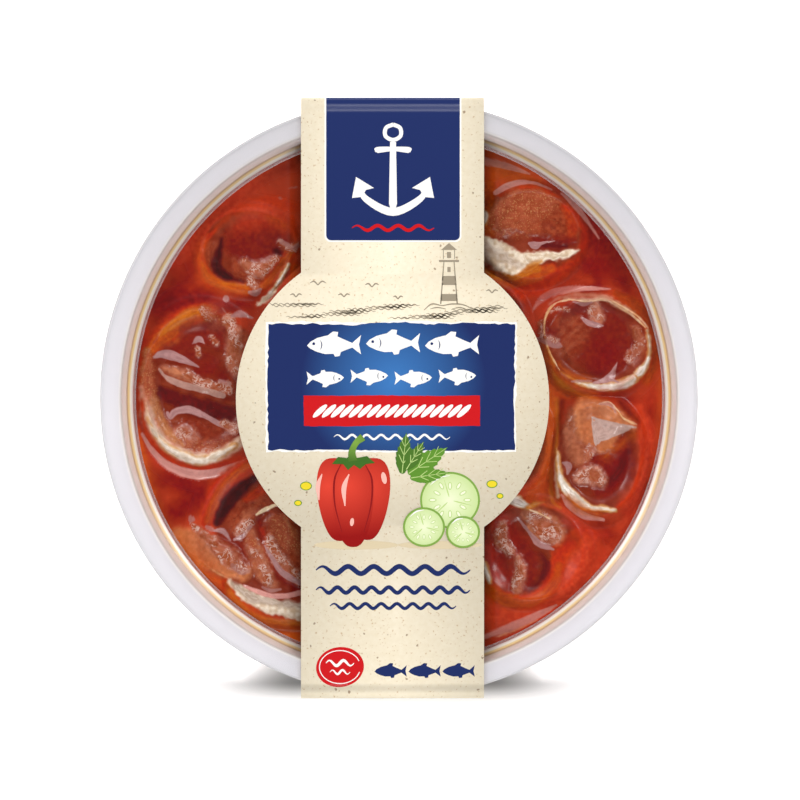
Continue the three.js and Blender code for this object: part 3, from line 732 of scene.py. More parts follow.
ROLL_6_MARKS = [
    ("ember", [(206, 238, 3), (222, 221, 5), (246, 206, 10), (272, 202, 14), (294, 206, 12)], 0.5),
    ("ember", [(216, 228, 2), (205, 240, 5), (200, 256, 8), (203, 270, 9)], 0.9),
    ("blaze", [(201, 262, 4), (206, 275, 8), (218, 283, 10), (234, 287, 11), (246, 290, 9)]),
    ("gold", [(222, 283, 2), (234, 284, 4), (246, 286, 5)], 0.5),
    ("glow", [(203, 242, 3), (198, 256, 4), (200, 270, 5),
              (208, 280, 6), (222, 287, 6), (240, 291, 5)], 0.6),
    ("flesh", [(212, 244, 6), (208, 256, 8), (212, 268, 6)], 0.7),
    ("violet", [(221, 238, 3), (218, 254, 8), (216, 267, 10), (226, 276, 8), (242, 281, 2)]),
    ("pool", [(236, 242, 26), (252, 240, 48), (270, 238, 40)]),
    ("blush", [(238, 226, 12), (252, 218, 22), (272, 216, 24), (284, 226, 14)], 0.55),
    ("flesh", [(234, 262, 12), (246, 272, 14), (262, 276, 10)], 0.8),
    ("violet", [(276, 250, 6), (280, 254, 3)], 0.8),
    ("amber", [(268, 216, 6), (284, 226, 8)], 0.4),
    ("lump", [(244, 262, 7), (254, 268, 13), (266, 266, 13), (276, 260, 9)], 0.6),
    ("glint", [(242, 261, 3), (250, 262, 3), (258, 268, 4)], 0.5),
    ("glint", [(262, 262, 4), (270, 258, 6), (276, 261, 3)], 0.5),
    ("specks", [(244, 262, 7), (252, 268, 14), (264, 268, 14), (275, 260, 9)]),
    ("ember", [(292, 216, 2.5), (296, 234, 3)], 0.8),
    ("blaze", [(292, 250, 6), (283, 262, 8), (272, 276, 8), (262, 286, 5)]),
    ("specks", [(250, 280, 8), (255, 288, 10)]),
    ("glint", [(249, 292, 4), (255, 293, 6.5), (260, 289, 2)], 0.8),
    ("specks", [(281, 243, 6), (290, 247, 9), (297, 244, 6)], 0.9),
    ("glint", [(281, 241, 4), (286, 244, 4), (292, 248, 4), (297, 245, 4)], 0.65),
    ("cream", [(289, 262, 2), (280, 280, 4.5), (269, 295, 6), (258, 304, 5)]),
    ("silver", [(288, 264, 1.2), (279, 281, 2.5), (270, 293, 2.5)]),
    ("blaze", [(296, 266, 6), (290, 284, 8), (278, 302, 8)], 0.8),
    ("glint", [(280, 197, 3)], 0.5),
    ("glint", [(289, 187.5, 1), (296, 186, 1.6)], 0.5),
]
ROLL_7_MARKS = [
    ("ember", [(203, 530, 8), (209, 504, 12), (218, 486, 12), (231, 471, 10), (250, 460, 8)], 0.9),
    ("blaze", [(207, 522, 7), (214, 503, 10), (223, 487, 10), (234, 475, 8), (250, 464, 5)], 0.9),
    ("pool", [(206, 526, 3), (214, 506, 3), (228, 486, 3)], 0.5),
    ("violet", [(216, 524, 6), (226, 505, 14), (238, 490, 13), (254, 479, 8)]),
    ("flesh", [(236, 524, 18), (254, 506, 20), (276, 492, 16)]),
    ("ember", [(246, 500, 8), (266, 488, 10), (284, 484, 8)], 0.6),
    ("pale", [(240, 530, 10), (252, 514, 12)], 0.7),
    ("specks", [(238, 534, 7), (246, 526, 9), (254, 518, 7)]),
    ("glow", [(166, 540, 14), (176, 558, 16), (196, 572, 14), (216, 582, 8)]),
    ("flap", [(178, 536, 16), (198, 548, 30), (222, 560, 32), (242, 572, 18)]),
    ("glow", [(176, 540, 10), (188, 556, 14), (208, 568, 8)], 0.6),
    ("dust", [(196, 544, 24), (222, 560, 26)], 0.3),
    ("tan", [(204, 540, 8), (222, 554, 16), (238, 568, 12)], 0.6),
    ("specks", [(194, 528, 8), (208, 538, 12), (224, 552, 20), (240, 566, 16)]),
    ("glint", [(232, 566, 4), (240, 572, 6), (248, 572, 4)], 0.55),
    ("pool", [(222, 538, 8), (238, 546, 12), (246, 562, 6)], 0.8),
    ("glint", [(190.5, 520, 7)], 0.7),
    ("glint", [(206, 527, 4), (211, 530, 5)], 0.6),
    ("glint", [(213, 531, 1.5), (222, 531.5, 5.5), (230, 541, 2)]),
    ("glint", [(234, 540, 2), (243, 536, 4), (250, 527, 3.5)]),
    ("rim", [(204, 565, 1), (216, 573, 1.4), (228, 579, 1)], 0.6),
    ("deep", [(258, 518, 5), (266, 544, 8), (280, 572, 10), (298, 590, 8)]),
    ("ember", [(262, 530, 3), (272, 556, 4), (288, 578, 4)], 0.7),
    ("pale", [(250, 534, 10), (256, 554, 15), (264, 574, 14), (272, 586, 8)]),
    ("dust", [(250, 540, 8), (258, 560, 10), (266, 576, 8)]),
    ("specks", [(252, 552, 6), (262, 566, 7), (268, 582, 6)]),
    ("glint", [(262, 588, 2), (270, 591.5, 4), (280, 590, 2)], 0.7),
    ("flesh", [(276, 524, 26), (292, 548, 26), (300, 566, 14)]),
    ("brass", [(284, 518, 6), (294, 536, 8), (298, 552, 5)], 0.5),
    ("dust", [(276, 524, 14), (290, 544, 18)]),
    ("lump", [(270, 544, 10), (278, 560, 14), (292, 574, 14)], 0.7),
    ("specks", [(268, 540, 9), (275, 556, 13), (287, 570, 14), (298, 580, 10)]),
    ("glint", [(264, 546, 2), (272, 559, 4), (282, 573, 6), (300, 584, 5)]),
    ("rim", [(256, 515, 2.4), (266, 509, 4), (280, 504, 3), (296, 503, 2)]),
    ("blaze", [(226, 584, 5), (232, 600, 9), (246, 614, 11), (268, 624, 10), (300, 628, 10)]),
    ("gold", [(229, 592, 3), (244, 612, 6), (266, 621, 6), (300, 624, 6)], 0.8),
    ("glow", [(228, 596, 6), (244, 613, 12), (268, 627, 12), (300, 634, 12)], 0.7),
    ("cream", [(229, 582, 4), (241, 593, 11), (258, 602, 14), (276, 608, 15), (300, 612, 17)]),
    ("ash", [(232, 584, 3), (246, 595, 7), (262, 601, 7), (280, 604, 6), (300, 606, 6)], 0.9),
    ("band", [(244, 586.5, 3), (258, 592.5, 4.5), (272, 596.5, 5), (286, 596.5, 5), (302, 593, 5)]),
    ("band", [(262, 627, 1), (282, 631, 1.6), (300, 632, 1.6)], 0.6),
]


# Where the sleeve hides the food, in pixels
COVER_MIDDLE = (392.5, 400)
COVER_HALF_WIDTH = 80
COVER_RADIUS = 145


def plain_marks(name, turn):
    """Marks for a roll under the sleeve: a bowl of sauce, lumps, a painted glint, an orange wall and a pale
    rim
    """
    x, y, a, b, *_ = ROLLS[name]
    x, y = PHOTO_CENTRE[0] + x / PHOTO_MM, PHOTO_CENTRE[1] - y / PHOTO_MM
    a, b = a / PHOTO_MM, b / PHOTO_MM

    def arc(start, end, share, widths):
        points = []
        for t, width in zip(np.radians(turn + np.linspace(start, end, len(widths))), widths):
            px, py = x + a * share * math.cos(t), y + b * share * math.sin(t)
            aside, ahead = px - COVER_MIDDLE[0], py - COVER_MIDDLE[1]
            hidden = abs(aside) < COVER_HALF_WIDTH or math.hypot(aside, ahead) < COVER_RADIUS
            points.append((px, py, width if hidden else -20))
        return points

    return [
        ("pool", [(x, y, a), (x + 1, y + 1, a)], 0.9),
        ("orange", arc(150, 330, 0.94, (2, 7, 9, 9, 7, 2))),
        ("pale", arc(20, 120, 0.45, (8, 18, 8)), 0.8),
        ("lump", arc(180, 300, 0.4, (6, 13, 14, 6))),
        ("specks", arc(180, 300, 0.4, (5, 12, 12, 5))),
        ("glint", arc(30, 110, 0.6, (1, 5, 5, 1))),
        ("silver", arc(0, 160, 0.95, (2, 6, 9, 9, 6, 2))),
        ("rim", arc(160, 350, 0.97, (1, 1.6, 1.4, 1.6, 1))),
    ]


FOOD_MARKS = [
    *[plain_marks(f"herring_roll_{number}", number * 75) for number in range(8, 14)],
    ROLL_1_MARKS,
    ROLL_2_MARKS,
    ROLL_3_MARKS,
    ROLL_4_MARKS,
    ROLL_5_MARKS,
    ROLL_6_MARKS,
    ROLL_7_MARKS,
]
WET_SHEEN = 0.016  # light that the wet surface adds to its colour
OWN_SHADE = 0.86  # the share of light that is left between the rolls


def wear_food(mesh, food):
    """Stores the food's colours, curls and roughness on a mesh's points"""
    values = np.clip(food.colour, 0, 1)
    linear = np.where(values <= 0.04045, values / 12.92, ((values + 0.055) / 1.055) ** 2.4)
    linear = np.clip((linear - WET_SHEEN) / OWN_SHADE, 0.002, 1)
    tone = mesh.color_attributes.new("tone", "FLOAT_COLOR", "POINT")
    tone.data.foreach_set("color", np.column_stack([linear, np.ones(len(linear))]).ravel())
    for name, numbers in (("curl", food.curl), ("dust", food.dust), ("gloss", food.rough)):
        mesh.attributes.new(name, "FLOAT", "POINT").data.foreach_set("value", np.clip(numbers, 0, 1))


def wet_food(name, grain_size, grain_depth):
    """Wet food: its own tone and roughness, and a wet coat where it is smooth. Threads of white
    protein curl about 1.1 mm apart, in patches of about 2.2 mm, and golden dust is 0.36 mm."""
    material, tree = new_material(name)
    place = add(tree, "TexCoord").outputs["Object"]
    tone = add(tree, "Attribute", attribute_name="tone").outputs["Color"]
    curl = add(tree, "Attribute", attribute_name="curl").outputs["Fac"]
    dust = add(tree, "Attribute", attribute_name="dust").outputs["Fac"]
    gloss = add(tree, "Attribute", attribute_name="gloss").outputs["Fac"]
    knots = add(
        tree,
        "TexNoise",
        {"Vector": place, "Scale": 1 / (1.1 * MM), "Detail": 1.5, "Distortion": 1.2},
    ).outputs["Fac"]
    away = add(tree, "Math", {0: knots, 1: 0.5}, operation="SUBTRACT").outputs[0]
    away = add(tree, "Math", {0: away}, operation="ABSOLUTE").outputs[0]
    threads = add(
        tree,
        "MapRange",
        {"Value": away, "From Min": 0.085, "From Max": 0.035},
        interpolation_type="SMOOTHSTEP",
    ).outputs[0]
    patches = add(tree, "TexNoise", {"Vector": place, "Scale": 1 / (2.2 * MM), "Detail": 1}).outputs["Fac"]
    patches = add(tree, "MapRange", {"Value": patches, "From Min": 0.4, "From Max": 0.52}).outputs[0]
    threads = add(tree, "Math", {0: threads, 1: patches}, operation="MULTIPLY").outputs[0]
    threads = add(tree, "Math", {0: threads, 1: curl}, operation="MULTIPLY", use_clamp=True).outputs[0]
    grain_scale = 1 / (grain_size * MM)
    grain = add(tree, "TexNoise", {"Vector": place, "Scale": grain_scale, "Detail": 4}).outputs["Fac"]
    lightness = add(
        tree,
        "MapRange",
        {"Value": grain, "From Min": 0.3, "From Max": 0.7, "To Min": 0.91, "To Max": 1.07},
    ).outputs[0]
    tone = add(tree, "HueSaturation", {"Color": tone, "Value": lightness}).outputs[0]
    grit = add(tree, "TexNoise", {"Vector": place, "Scale": 1 / (0.36 * MM), "Detail": 2}).outputs["Fac"]
    grit = add(tree, "MapRange", {"Value": grit, "From Min": 0.54, "From Max": 0.72}).outputs[0]
    grit = add(tree, "Math", {0: grit, 1: dust}, operation="MULTIPLY", use_clamp=True).outputs[0]
    tone = add(tree, "Mix", {0: grit, 6: tone, 7: shade("#BE7A4C")}, data_type="RGBA").outputs[2]
    colour = add(tree, "Mix", {0: threads, 6: tone, 7: shade("#CDA294")}, data_type="RGBA").outputs[2]
    uneven = add(tree, "Math", {0: curl, 1: 0.3, 2: 0.1}, operation="MULTIPLY_ADD").outputs[0]
    raised = add(tree, "Math", {0: threads, 1: 0.45}, operation="MULTIPLY").outputs[0]
    relief = add(tree, "Math", {0: grain, 1: uneven, 2: raised}, operation="MULTIPLY_ADD").outputs[0]
    bump = add(tree, "Bump", {"Height": relief, "Strength": 0.5, "Distance": grain_depth * MM})
    wet = add(
        tree,
        "MapRange",
        {"Value": gloss, "From Min": WETTEST, "From Max": 0.4, "To Min": 0.2, "To Max": 0.0},
    ).outputs[0]
    shine = add(
        tree,
        "MapRange",
        {"Value": gloss, "From Min": WETTEST, "From Max": 0.42, "To Min": 0.5, "To Max": 0.12},
    ).outputs[0]
    surface = add(
        tree,
        "BsdfPrincipled",
        {
            "Base Color": colour,
            "Roughness": gloss,
            "IOR": 1.4,
            "Specular IOR Level": shine,
            "Coat Weight": wet,
            "Coat Roughness": 0.1,
            "Coat IOR": 1.36,
            "Normal": bump.outputs[0],
        },
    )
    add(tree, "OutputMaterial", {"Surface": surface.outputs[0]})
    return material


# Tomato sauce with oil: nearly smooth, glossy all over
tomato_sauce = wet_food("oily_tomato_sauce", 2.5, 0.05)

SAUCE_STEPS = 680  # faces round the edge
wall_gap = 0.02
sauce_rim = wall_radius(SAUCE_LEVEL) - wall_gap
sauce_outline = [(radius, SAUCE_LEVEL) for radius in (0, 3, 6, 9, 12, 15, 18, 21)]
sauce_outline += [(radius, SAUCE_LEVEL) for radius in np.linspace(24, sauce_rim, 98)]
sauce_outline += [(wall_radius(z) - wall_gap, z) for z in np.linspace(SAUCE_LEVEL - 0.6, foot_height, 10)]
sauce_outline += rounding(foot_radius, foot_height, FOOT_ROUNDING - wall_gap, 0, -90, 6)[1:]
sauce_outline += [(radius, FLOOR_TOP + wall_gap) for radius in (46, 41)]
sauce_outline += [(radius, 2.12) for radius in (38, 30, 22, 14, 7, 0)]
bm = turned(sauce_outline, SAUCE_STEPS)
sauce = piece("tomato_sauce_bath", bm, tomato_sauce)
points = np.empty(len(sauce.data.vertices) * 3)
sauce.data.vertices.foreach_get("co", points)
points = points.reshape(-1, 3) / MM
food = food_at(points[:, 0], points[:, 1])
top = points[:, 2] > SAUCE_LEVEL - 0.01
# The sauce's side and underside are seen through the tub. They are plain and darker.
side = smooth(SAUCE_LEVEL - points[:, 2], 0.2, 3)
drift = 0.5 + 0.5 * cloud(points[:, 0] + 2 * points[:, 2], points[:, 1] - 2 * points[:, 2], 11, 21)
food.tint(np.arange(len(points)), side, "#982C1E", "#7A1E15", drift)
food.curl *= 1 - side
food.dust *= 1 - side
# Its top lies low under each roll, so that the roll's own top is the one that shows
under = np.zeros(len(points))
for x, y, a, b, *_ in ROLLS.values():
    share = np.hypot((points[:, 0] - x) / a, (points[:, 1] - y) / b)
    under = np.maximum(under, 1 - smooth(share, 0.93, 1.0))
rise = np.minimum(food.height, 0.0) + food.level - 4 * under
points[top, 2] += rise[top]
sauce.data.vertices.foreach_set("co", (points * MM).ravel())
wear_food(sauce.data, food)
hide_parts("tomato_sauce")

# Herring rolls
# Brined herring fillets, each rolled up with the silver skin outwards and stood on edge. Their
# flesh is brown from the sauce and glistens, with curls of white protein on it.
herring = wet_food("brined_herring_fillet", 0.8, 0.12)
ROLL_FOOT = 2.8


def roll_blank(rings, steps, skirt_end):
    """A round blank whose levels 0 to -3 are the top, two rows of the wall, and the foot"""
    skirt = np.linspace(1, skirt_end, int(rings * (skirt_end - 1) * 0.75))[1:]
    outline = [(10 * share, 0) for share in [*np.linspace(0, 1, rings), *skirt]]
    outline += [(9.85, -1), (9.7, -2), (9, -3), (0, -3)]
    return turned(outline, steps)


def fillet_roll(name, blank):
    """A roll: its top, the sauce that clings to it, and its wall down to the foot"""
    x, y, a, b, *_ = ROLLS[name]
    roll = piece(name + "_fillet", blank.copy(), herring, 180)
    points = np.empty(len(roll.data.vertices) * 3)
    roll.data.vertices.foreach_get("co", points)
    points = points.reshape(-1, 3) / MM
    points[:, :2] /= 10
    share = np.hypot(points[:, 0], points[:, 1])
    level = np.round(points[:, 2]).astype(int)
    points[:, 0] = x + a * points[:, 0]
    points[:, 1] = y + b * points[:, 1]
    food = food_at(points[:, 0], points[:, 1])
    end = share[level == 0].max()
    clinging = 0.02 + 0.09 * (1 - smooth(share, 1, 1.12)) - 0.06 * smooth(share, end - 0.2, end)
    standing = food.height * (1 - smooth(share, end - 0.22, end - 0.08))
    height = SAUCE_LEVEL + food.level + standing + clinging
    for other, (ox, oy, oa, ob, *_) in ROLLS.items():
        if other != name:
            theirs = np.hypot((points[:, 0] - ox) / oa, (points[:, 1] - oy) / ob)
            sinking = 0.15 * smooth(share - theirs, 0, 0.12) + 5 * smooth(share - theirs, 0.12, 0.35)
            height -= sinking * smooth(share, 1.0, 1.04)
    low = np.array([0, SAUCE_LEVEL - 3, SAUCE_LEVEL - 8, ROLL_FOOT])  # the rows below the top
    points[:, 2] = np.where(level == 0, height, low[-level])
    reach = np.hypot(points[:, 0], points[:, 1])
    pull = np.minimum(1, (sauce_rim - 0.05) / np.maximum(reach, 1))
    points[:, 0] *= pull
    points[:, 1] *= pull
    roll.data.vertices.foreach_set("co", (points * MM).ravel())
    wear_food(roll.data, food)
    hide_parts(name)
    return roll


# Each blank's rings, its steps, how far the clinging sauce reaches as a share of the roll's
# outline, and the rolls that are made from it
BLANKS = {
    "large": (roll_blank(106, 400, 1.3), (5, 7)),
    "middle": (roll_blank(90, 350, 1.34), (1, 2, 6)),
    "wide": (roll_blank(88, 340, 1.75), (3, 4)),
    "small": (roll_blank(56, 140, 1.25), (8, 9, 10, 11, 12, 13)),
}
for blank, numbers in BLANKS.values():
    for number in numbers:
        fillet_roll(f"herring_roll_{number}", blank)
    blank.free()

# Film
# Clear peelable film, heat sealed to the flange all round. It lies flat and very tight, and carries a
# painted shadow where the sleeve stands close above it.
FILM_TOP = 31.5
FILM_EDGE = RIM_RADIUS - 0.1
SLEEVE_WIDTH = 39.6
SLEEVE_X = -1.4
DISC_RADIUS = 33.9  # the sleeve's round widening
DISC_Y = -0.4
CONTACT_REACH = 3.4  # how far the shade beside the sleeve goes

# Clear polyester film: hardly seen from straight above, and a mirror at a low angle
clear_film, tree = new_material("clear_sealing_film")
slant = add(tree, "LayerWeight", {"Blend": 0.5}).outputs["Facing"]
gleam = add(
    tree,
    "MapRange",
    {"Value": slant, "From Min": 0.6, "From Max": 1.0, "To Min": 0.03, "To Max": 0.5},
).outputs[0]
place = add(tree, "TexCoord").outputs["Object"]
# Painted shadow: the film is darker and less clear beside the sleeve's strip, and faintly round its disc
to_middle = (-SLEEVE_X * MM, -DISC_Y * MM, 0)
moved = add(tree, "VectorMath", {0: place, 1: to_middle}, operation="ADD").outputs[0]
moved = add(tree, "VectorMath", {0: moved, 1: (1, 1, 0)}, operation="MULTIPLY").outputs[0]
from_centre = add(tree, "VectorMath", {0: moved}, operation="LENGTH").outputs["Value"]
past_disc = add(tree, "Math", {0: from_centre, 1: DISC_RADIUS * MM}, operation="SUBTRACT").outputs[0]
aside = add(tree, "SeparateXYZ", {0: moved}).outputs["X"]
aside = add(tree, "Math", {0: aside}, operation="ABSOLUTE").outputs[0]
past_strip = add(tree, "Math", {0: aside, 1: SLEEVE_WIDTH / 2 * MM}, operation="SUBTRACT").outputs[0]
painted_shadow = add(
    tree,
    "MapRange",
    {"Value": past_strip, "From Min": CONTACT_REACH * MM, "From Max": 0, "To Max": 0.62},
).outputs[0]
at_disc = add(
    tree,
    "MapRange",
    {"Value": past_disc, "From Min": CONTACT_REACH / 2 * MM, "From Max": 0, "To Max": 0.15},
).outputs[0]
painted_shadow = add(tree, "Math", {0: painted_shadow, 1: at_disc}, operation="MAXIMUM").outputs[0]
painted_shadow = add(tree, "Math", {0: painted_shadow, 1: 1.35}, operation="POWER").outputs[0]
flat_place = add(tree, "VectorMath", {0: place, 1: (1, 1, 0)}, operation="MULTIPLY").outputs[0]
radius = add(tree, "VectorMath", {0: flat_place}, operation="LENGTH").outputs["Value"]
over_food = add(
    tree,
    "MapRange",
    {"Value": radius, "From Min": 58.6 * MM, "From Max": 60 * MM, "To Min": 1.0, "To Max": 0.1},
).outputs[0]
painted_shadow = add(tree, "Math", {0: painted_shadow, 1: over_food}, operation="MULTIPLY").outputs[0]
clarity = add(tree, "Math", {0: gleam, 1: painted_shadow}, operation="ADD", use_clamp=True).outputs[0]
darkness = add(tree, "MapRange", {"Value": painted_shadow, "From Max": 0.12}).outputs[0]
film_colours = {0: darkness, 6: shade("#6E6E70"), 7: shade("#2A0E08")}
film_tone = add(tree, "Mix", film_colours, data_type="RGBA").outputs[2]
surface = add(
    tree,
    "BsdfPrincipled",
    {"Base Color": film_tone, "Alpha": clarity, "Roughness": 0.06, "IOR": 1.5},
)
add(tree, "OutputMaterial", {"Surface": surface.outputs[0]})

film_outline = [(radius, FILM_TOP) for radius in (0, 30, 60.5, FILM_EDGE)]
bm = turned([*film_outline, (FILM_EDGE, FILM_TOP - 0.12)], TUB_STEPS)
press_flat(bm)
film = piece("sealed_film", bm, clear_film)
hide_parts("lid_film")

# Sleeve
# One strip of kraft board 0.5 mm thick, die cut with a round widening and folded round the tub.
# Its ends are glued under the base, where their lap is drawn as a single thickness.
SLEEVE_TOP = round(cad_box[1][2] / MM, 2)
SLEEVE_REACH = 65.2  # from the middle to the upper folds, if they were sharp
SLEEVE_BASE_REACH = 56.0
SLEEVE_FOLD = 0.9  # how far each fold is rounded
BOARD = 0.5


def folded_path():
    """The sleeve's outside as a line of (y, z) points, from the seam under the base round to it"""
    corners = [
        (-SLEEVE_BASE_REACH, 0),
        (-SLEEVE_REACH, SLEEVE_TOP),
        (SLEEVE_REACH, SLEEVE_TOP),
        (SLEEVE_BASE_REACH, 0),
    ]
    path = [np.array((-2.0, 0.0))]
    for i, corner in enumerate(corners):
        corner = np.array(corner, float)
        before = np.array(corners[i - 1] if i else (0, 0), float)
        after = np.array(corners[i + 1] if i < 3 else (0, 0), float)
        start = corner + (before - corner) / np.linalg.norm(before - corner) * SLEEVE_FOLD
        end = corner + (after - corner) / np.linalg.norm(after - corner) * SLEEVE_FOLD
        for t in np.linspace(0, 1, 7):
            path.append(start * (1 - t) ** 2 + 2 * corner * t * (1 - t) + end * t**2)
    path.append(np.array((-2.0, 0.0)))
    return np.array(path)


fold_path = folded_path()
fold_at = np.concatenate([[0], np.cumsum(np.linalg.norm(np.diff(fold_path, axis=0), axis=1))])
# The blank's length to the middle of the top panel, which runs from point 14 to point 15
top_middle = (fold_at[14] + fold_at[15]) / 2


def fold(bm, lift=0.0):
    """Folds a flat blank, whose Y runs along the strip, round the pack"""
    for i in range(1, len(fold_at) - 1):
        bmesh.ops.bisect_plane(
            bm,
            geom=bm.verts[:] + bm.edges[:] + bm.faces[:],
            dist=1e-8,
            plane_co=(0, (fold_at[i] - top_middle) * MM, 0),
            plane_no=(0, 1, 0),
        )
    slopes = np.gradient(fold_path, fold_at, axis=0)
    for vert in bm.verts:
        along = vert.co.y / MM + top_middle
        y, z = (np.interp(along, fold_at, fold_path[:, k]) for k in (0, 1))
        dy, dz = (np.interp(along, fold_at, slopes[:, k]) for k in (0, 1))
        length = math.hypot(dy, dz)
        vert.co.y = (y - dz / length * lift) * MM
        vert.co.z = (z + dy / length * lift) * MM


def flat_shape(bm, outline):
    """Adds a flat face with this outline, in millimetres from the middle of the top panel"""
    verts = [bm.verts.new((x * MM, y * MM, 0)) for x, y in outline]
    face = bm.faces.new(verts)
    face.normal_update()
    if face.normal.z < 0:
        face.normal_flip()
    return face


def blank_outline():
    """The die-cut strip with its round widening"""
    half = SLEEVE_WIDTH / 2
    start, end = -top_middle, fold_at[-1] - top_middle
    meet = math.acos(half / DISC_RADIUS)

    def widening(middle):
        angles = np.linspace(middle - meet, middle + meet, 65)
        return [(SLEEVE_X + DISC_RADIUS * math.cos(t), DISC_Y + DISC_RADIUS * math.sin(t)) for t in angles]

    far = [(half + SLEEVE_X, end), (SLEEVE_X - half, end)]
    return [(half + SLEEVE_X, start), *widening(0), *far, *widening(math.pi), (SLEEVE_X - half, start)]


BEND_START = 61.7  # the bend's place on each half of the top panel
BEND_END = 63.9


def soft_bend(tree, place):
    """A bump for the board's soft bend just before its two upper folds"""
    along = add(tree, "SeparateXYZ", {0: place}).outputs["Y"]
    along = add(tree, "Math", {0: along}, operation="ABSOLUTE").outputs[0]
    drop = {"From Min": BEND_START * MM, "From Max": BEND_END * MM, "To Min": 1, "To Max": 0}
    height = add(tree, "MapRange", {"Value": along, **drop}, interpolation_type="SMOOTHSTEP").outputs[0]
    return add(tree, "Bump", {"Height": height, "Strength": 1.0, "Distance": 0.75 * MM}).outputs[0]


# Unbleached kraft board: cream, with fine brown and tan specks of fibre all over, and a thin
# varnish that shines on the bends
kraft_board, tree = new_material("cream_kraft_board")
place = add(tree, "TexCoord").outputs["Object"]
mottle = add(tree, "TexNoise", {"Vector": place, "Scale": 1 / (1.1 * MM), "Detail": 4}).outputs["Fac"]
creams = {0: mottle, 6: shade("#F8EDD6"), 7: shade("#EBDCBD")}
base = add(tree, "Mix", creams, data_type="RGBA").outputs[2]
fine = add(tree, "TexNoise", {"Vector": place, "Scale": 1 / (0.55 * MM), "Detail": 2}).outputs["Fac"]
fine = add(tree, "MapRange", {"Value": fine, "From Min": 0.655, "From Max": 0.7, "To Max": 0.6}).outputs[0]
base = add(tree, "Mix", {0: fine, 6: base, 7: shade("#C39A63")}, data_type="RGBA").outputs[2]
# Dark specks lie in some of the cells, 2.4 mm apart, each bent out of round by a finer noise
bending = add(tree, "TexNoise", {"Vector": place, "Scale": 1 / (1.11 * MM)}).outputs["Color"]
bent_place = add(tree, "Mix", {0: 0.9 * MM, 4: place, 5: bending}, data_type="VECTOR").outputs[1]
dots = add(tree, "TexVoronoi", {"Vector": bent_place, "Scale": 1 / (2.4 * MM)})
chosen = add(tree, "Math", {0: dots.outputs["Color"], 1: 0.62}, operation="GREATER_THAN").outputs[0]
dot_sizes = {"Value": dots.outputs["Distance"], "From Min": 0.13, "From Max": 0.08, "To Max": 0.75}
dots = add(tree, "MapRange", dot_sizes).outputs[0]
dots = add(tree, "Math", {0: dots, 1: chosen}, operation="MULTIPLY").outputs[0]
base = add(tree, "Mix", {0: dots, 6: base, 7: shade("#8A6A48")}, data_type="RGBA").outputs[2]
fibre = add(
    tree,
    "Bump",
    {"Height": mottle, "Strength": 0.25, "Distance": 0.06 * MM, "Normal": soft_bend(tree, place)},
)
surface = add(
    tree,
    "BsdfPrincipled",
    {
        "Base Color": base,
        "Roughness": 0.6,
        "IOR": 1.47,
        "Coat Weight": 0.2,
        "Coat Roughness": 0.25,
        "Coat Normal": fibre.outputs[0],
        "Normal": fibre.outputs[0],
    },
)
add(tree, "OutputMaterial", {"Surface": surface.outputs[0]})

bm = bmesh.new()
flat_shape(bm, blank_outline())
fold(bm)
bmesh.ops.remove_doubles(bm, verts=bm.verts, dist=1e-7)
sleeve = piece("kraft_sleeve", bm, kraft_board, 50)
thickness = sleeve.modifiers.new("board", "SOLIDIFY")
thickness.thickness = BOARD * MM
thickness.offset = -1
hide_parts("sleeve")

# Print
# Flat inks, printed on the board before it is cut and folded: torn panels, an anchor, fish, a
# rope, waves, gulls, a lighthouse, a pepper, slices of cucumber, leaves, drops and a seal.


def from_photo(points):
    """Places of the view from above, in millimetres on the top panel"""
    return [((x - PHOTO_CENTRE[0]) * PHOTO_MM, (PHOTO_CENTRE[1] - y) * PHOTO_MM) for x, y in points]


def ink(name, code, finish=0.45, second=None, centre=(0, 0), reach=25):
    """Satin printing ink: one colour, or two that change outwards from a centre. The board's
    fibres show in it as a fine grain of 0.5 mm."""
    material, tree = new_material(name)
    colour = shade(code)
    place = add(tree, "TexCoord").outputs["Object"]
    if second:
        to_centre = (-centre[0] * MM, -centre[1] * MM, -SLEEVE_TOP * MM)
        moved = add(tree, "Mapping", {"Vector": place, "Location": to_centre}).outputs[0]
        away = add(tree, "VectorMath", {0: moved}, operation="LENGTH").outputs["Value"]
        share = add(tree, "MapRange", {"Value": away, "From Max": reach * MM}).outputs[0]
        colour = add(tree, "ValToRGB", {"Fac": share}, [(0, code), (1, second)]).outputs["Color"]
    grain = add(tree, "TexNoise", {"Vector": place, "Scale": 1 / (0.5 * MM), "Detail": 3}).outputs["Fac"]
    fibre = add(
        tree,
        "Bump",
        {"Height": grain, "Strength": 0.12, "Distance": 0.05 * MM, "Normal": soft_bend(tree, place)},
    )
    surface = add(
        tree,
        "BsdfPrincipled",
        {
            "Base Color": colour,
            "Roughness": finish,
            "IOR": 1.4,
            "Specular IOR Level": 0.3,
            "Coat Weight": 0.25,
            "Coat Roughness": 0.22,
            "Coat Normal": fibre.outputs[0],
            "Normal": fibre.outputs[0],
        },
    )
    add(tree, "OutputMaterial", {"Surface": surface.outputs[0]})
    return material


def printed(name, outlines, material, layer):
    """Flat shapes of ink, folded with the board. A higher layer lies on a lower one."""
    bm = bmesh.new()
    for outline in outlines:
        flat_shape(bm, outline)
    fold(bm, 0.012 * layer)
    return piece(name, bm, material, 50)


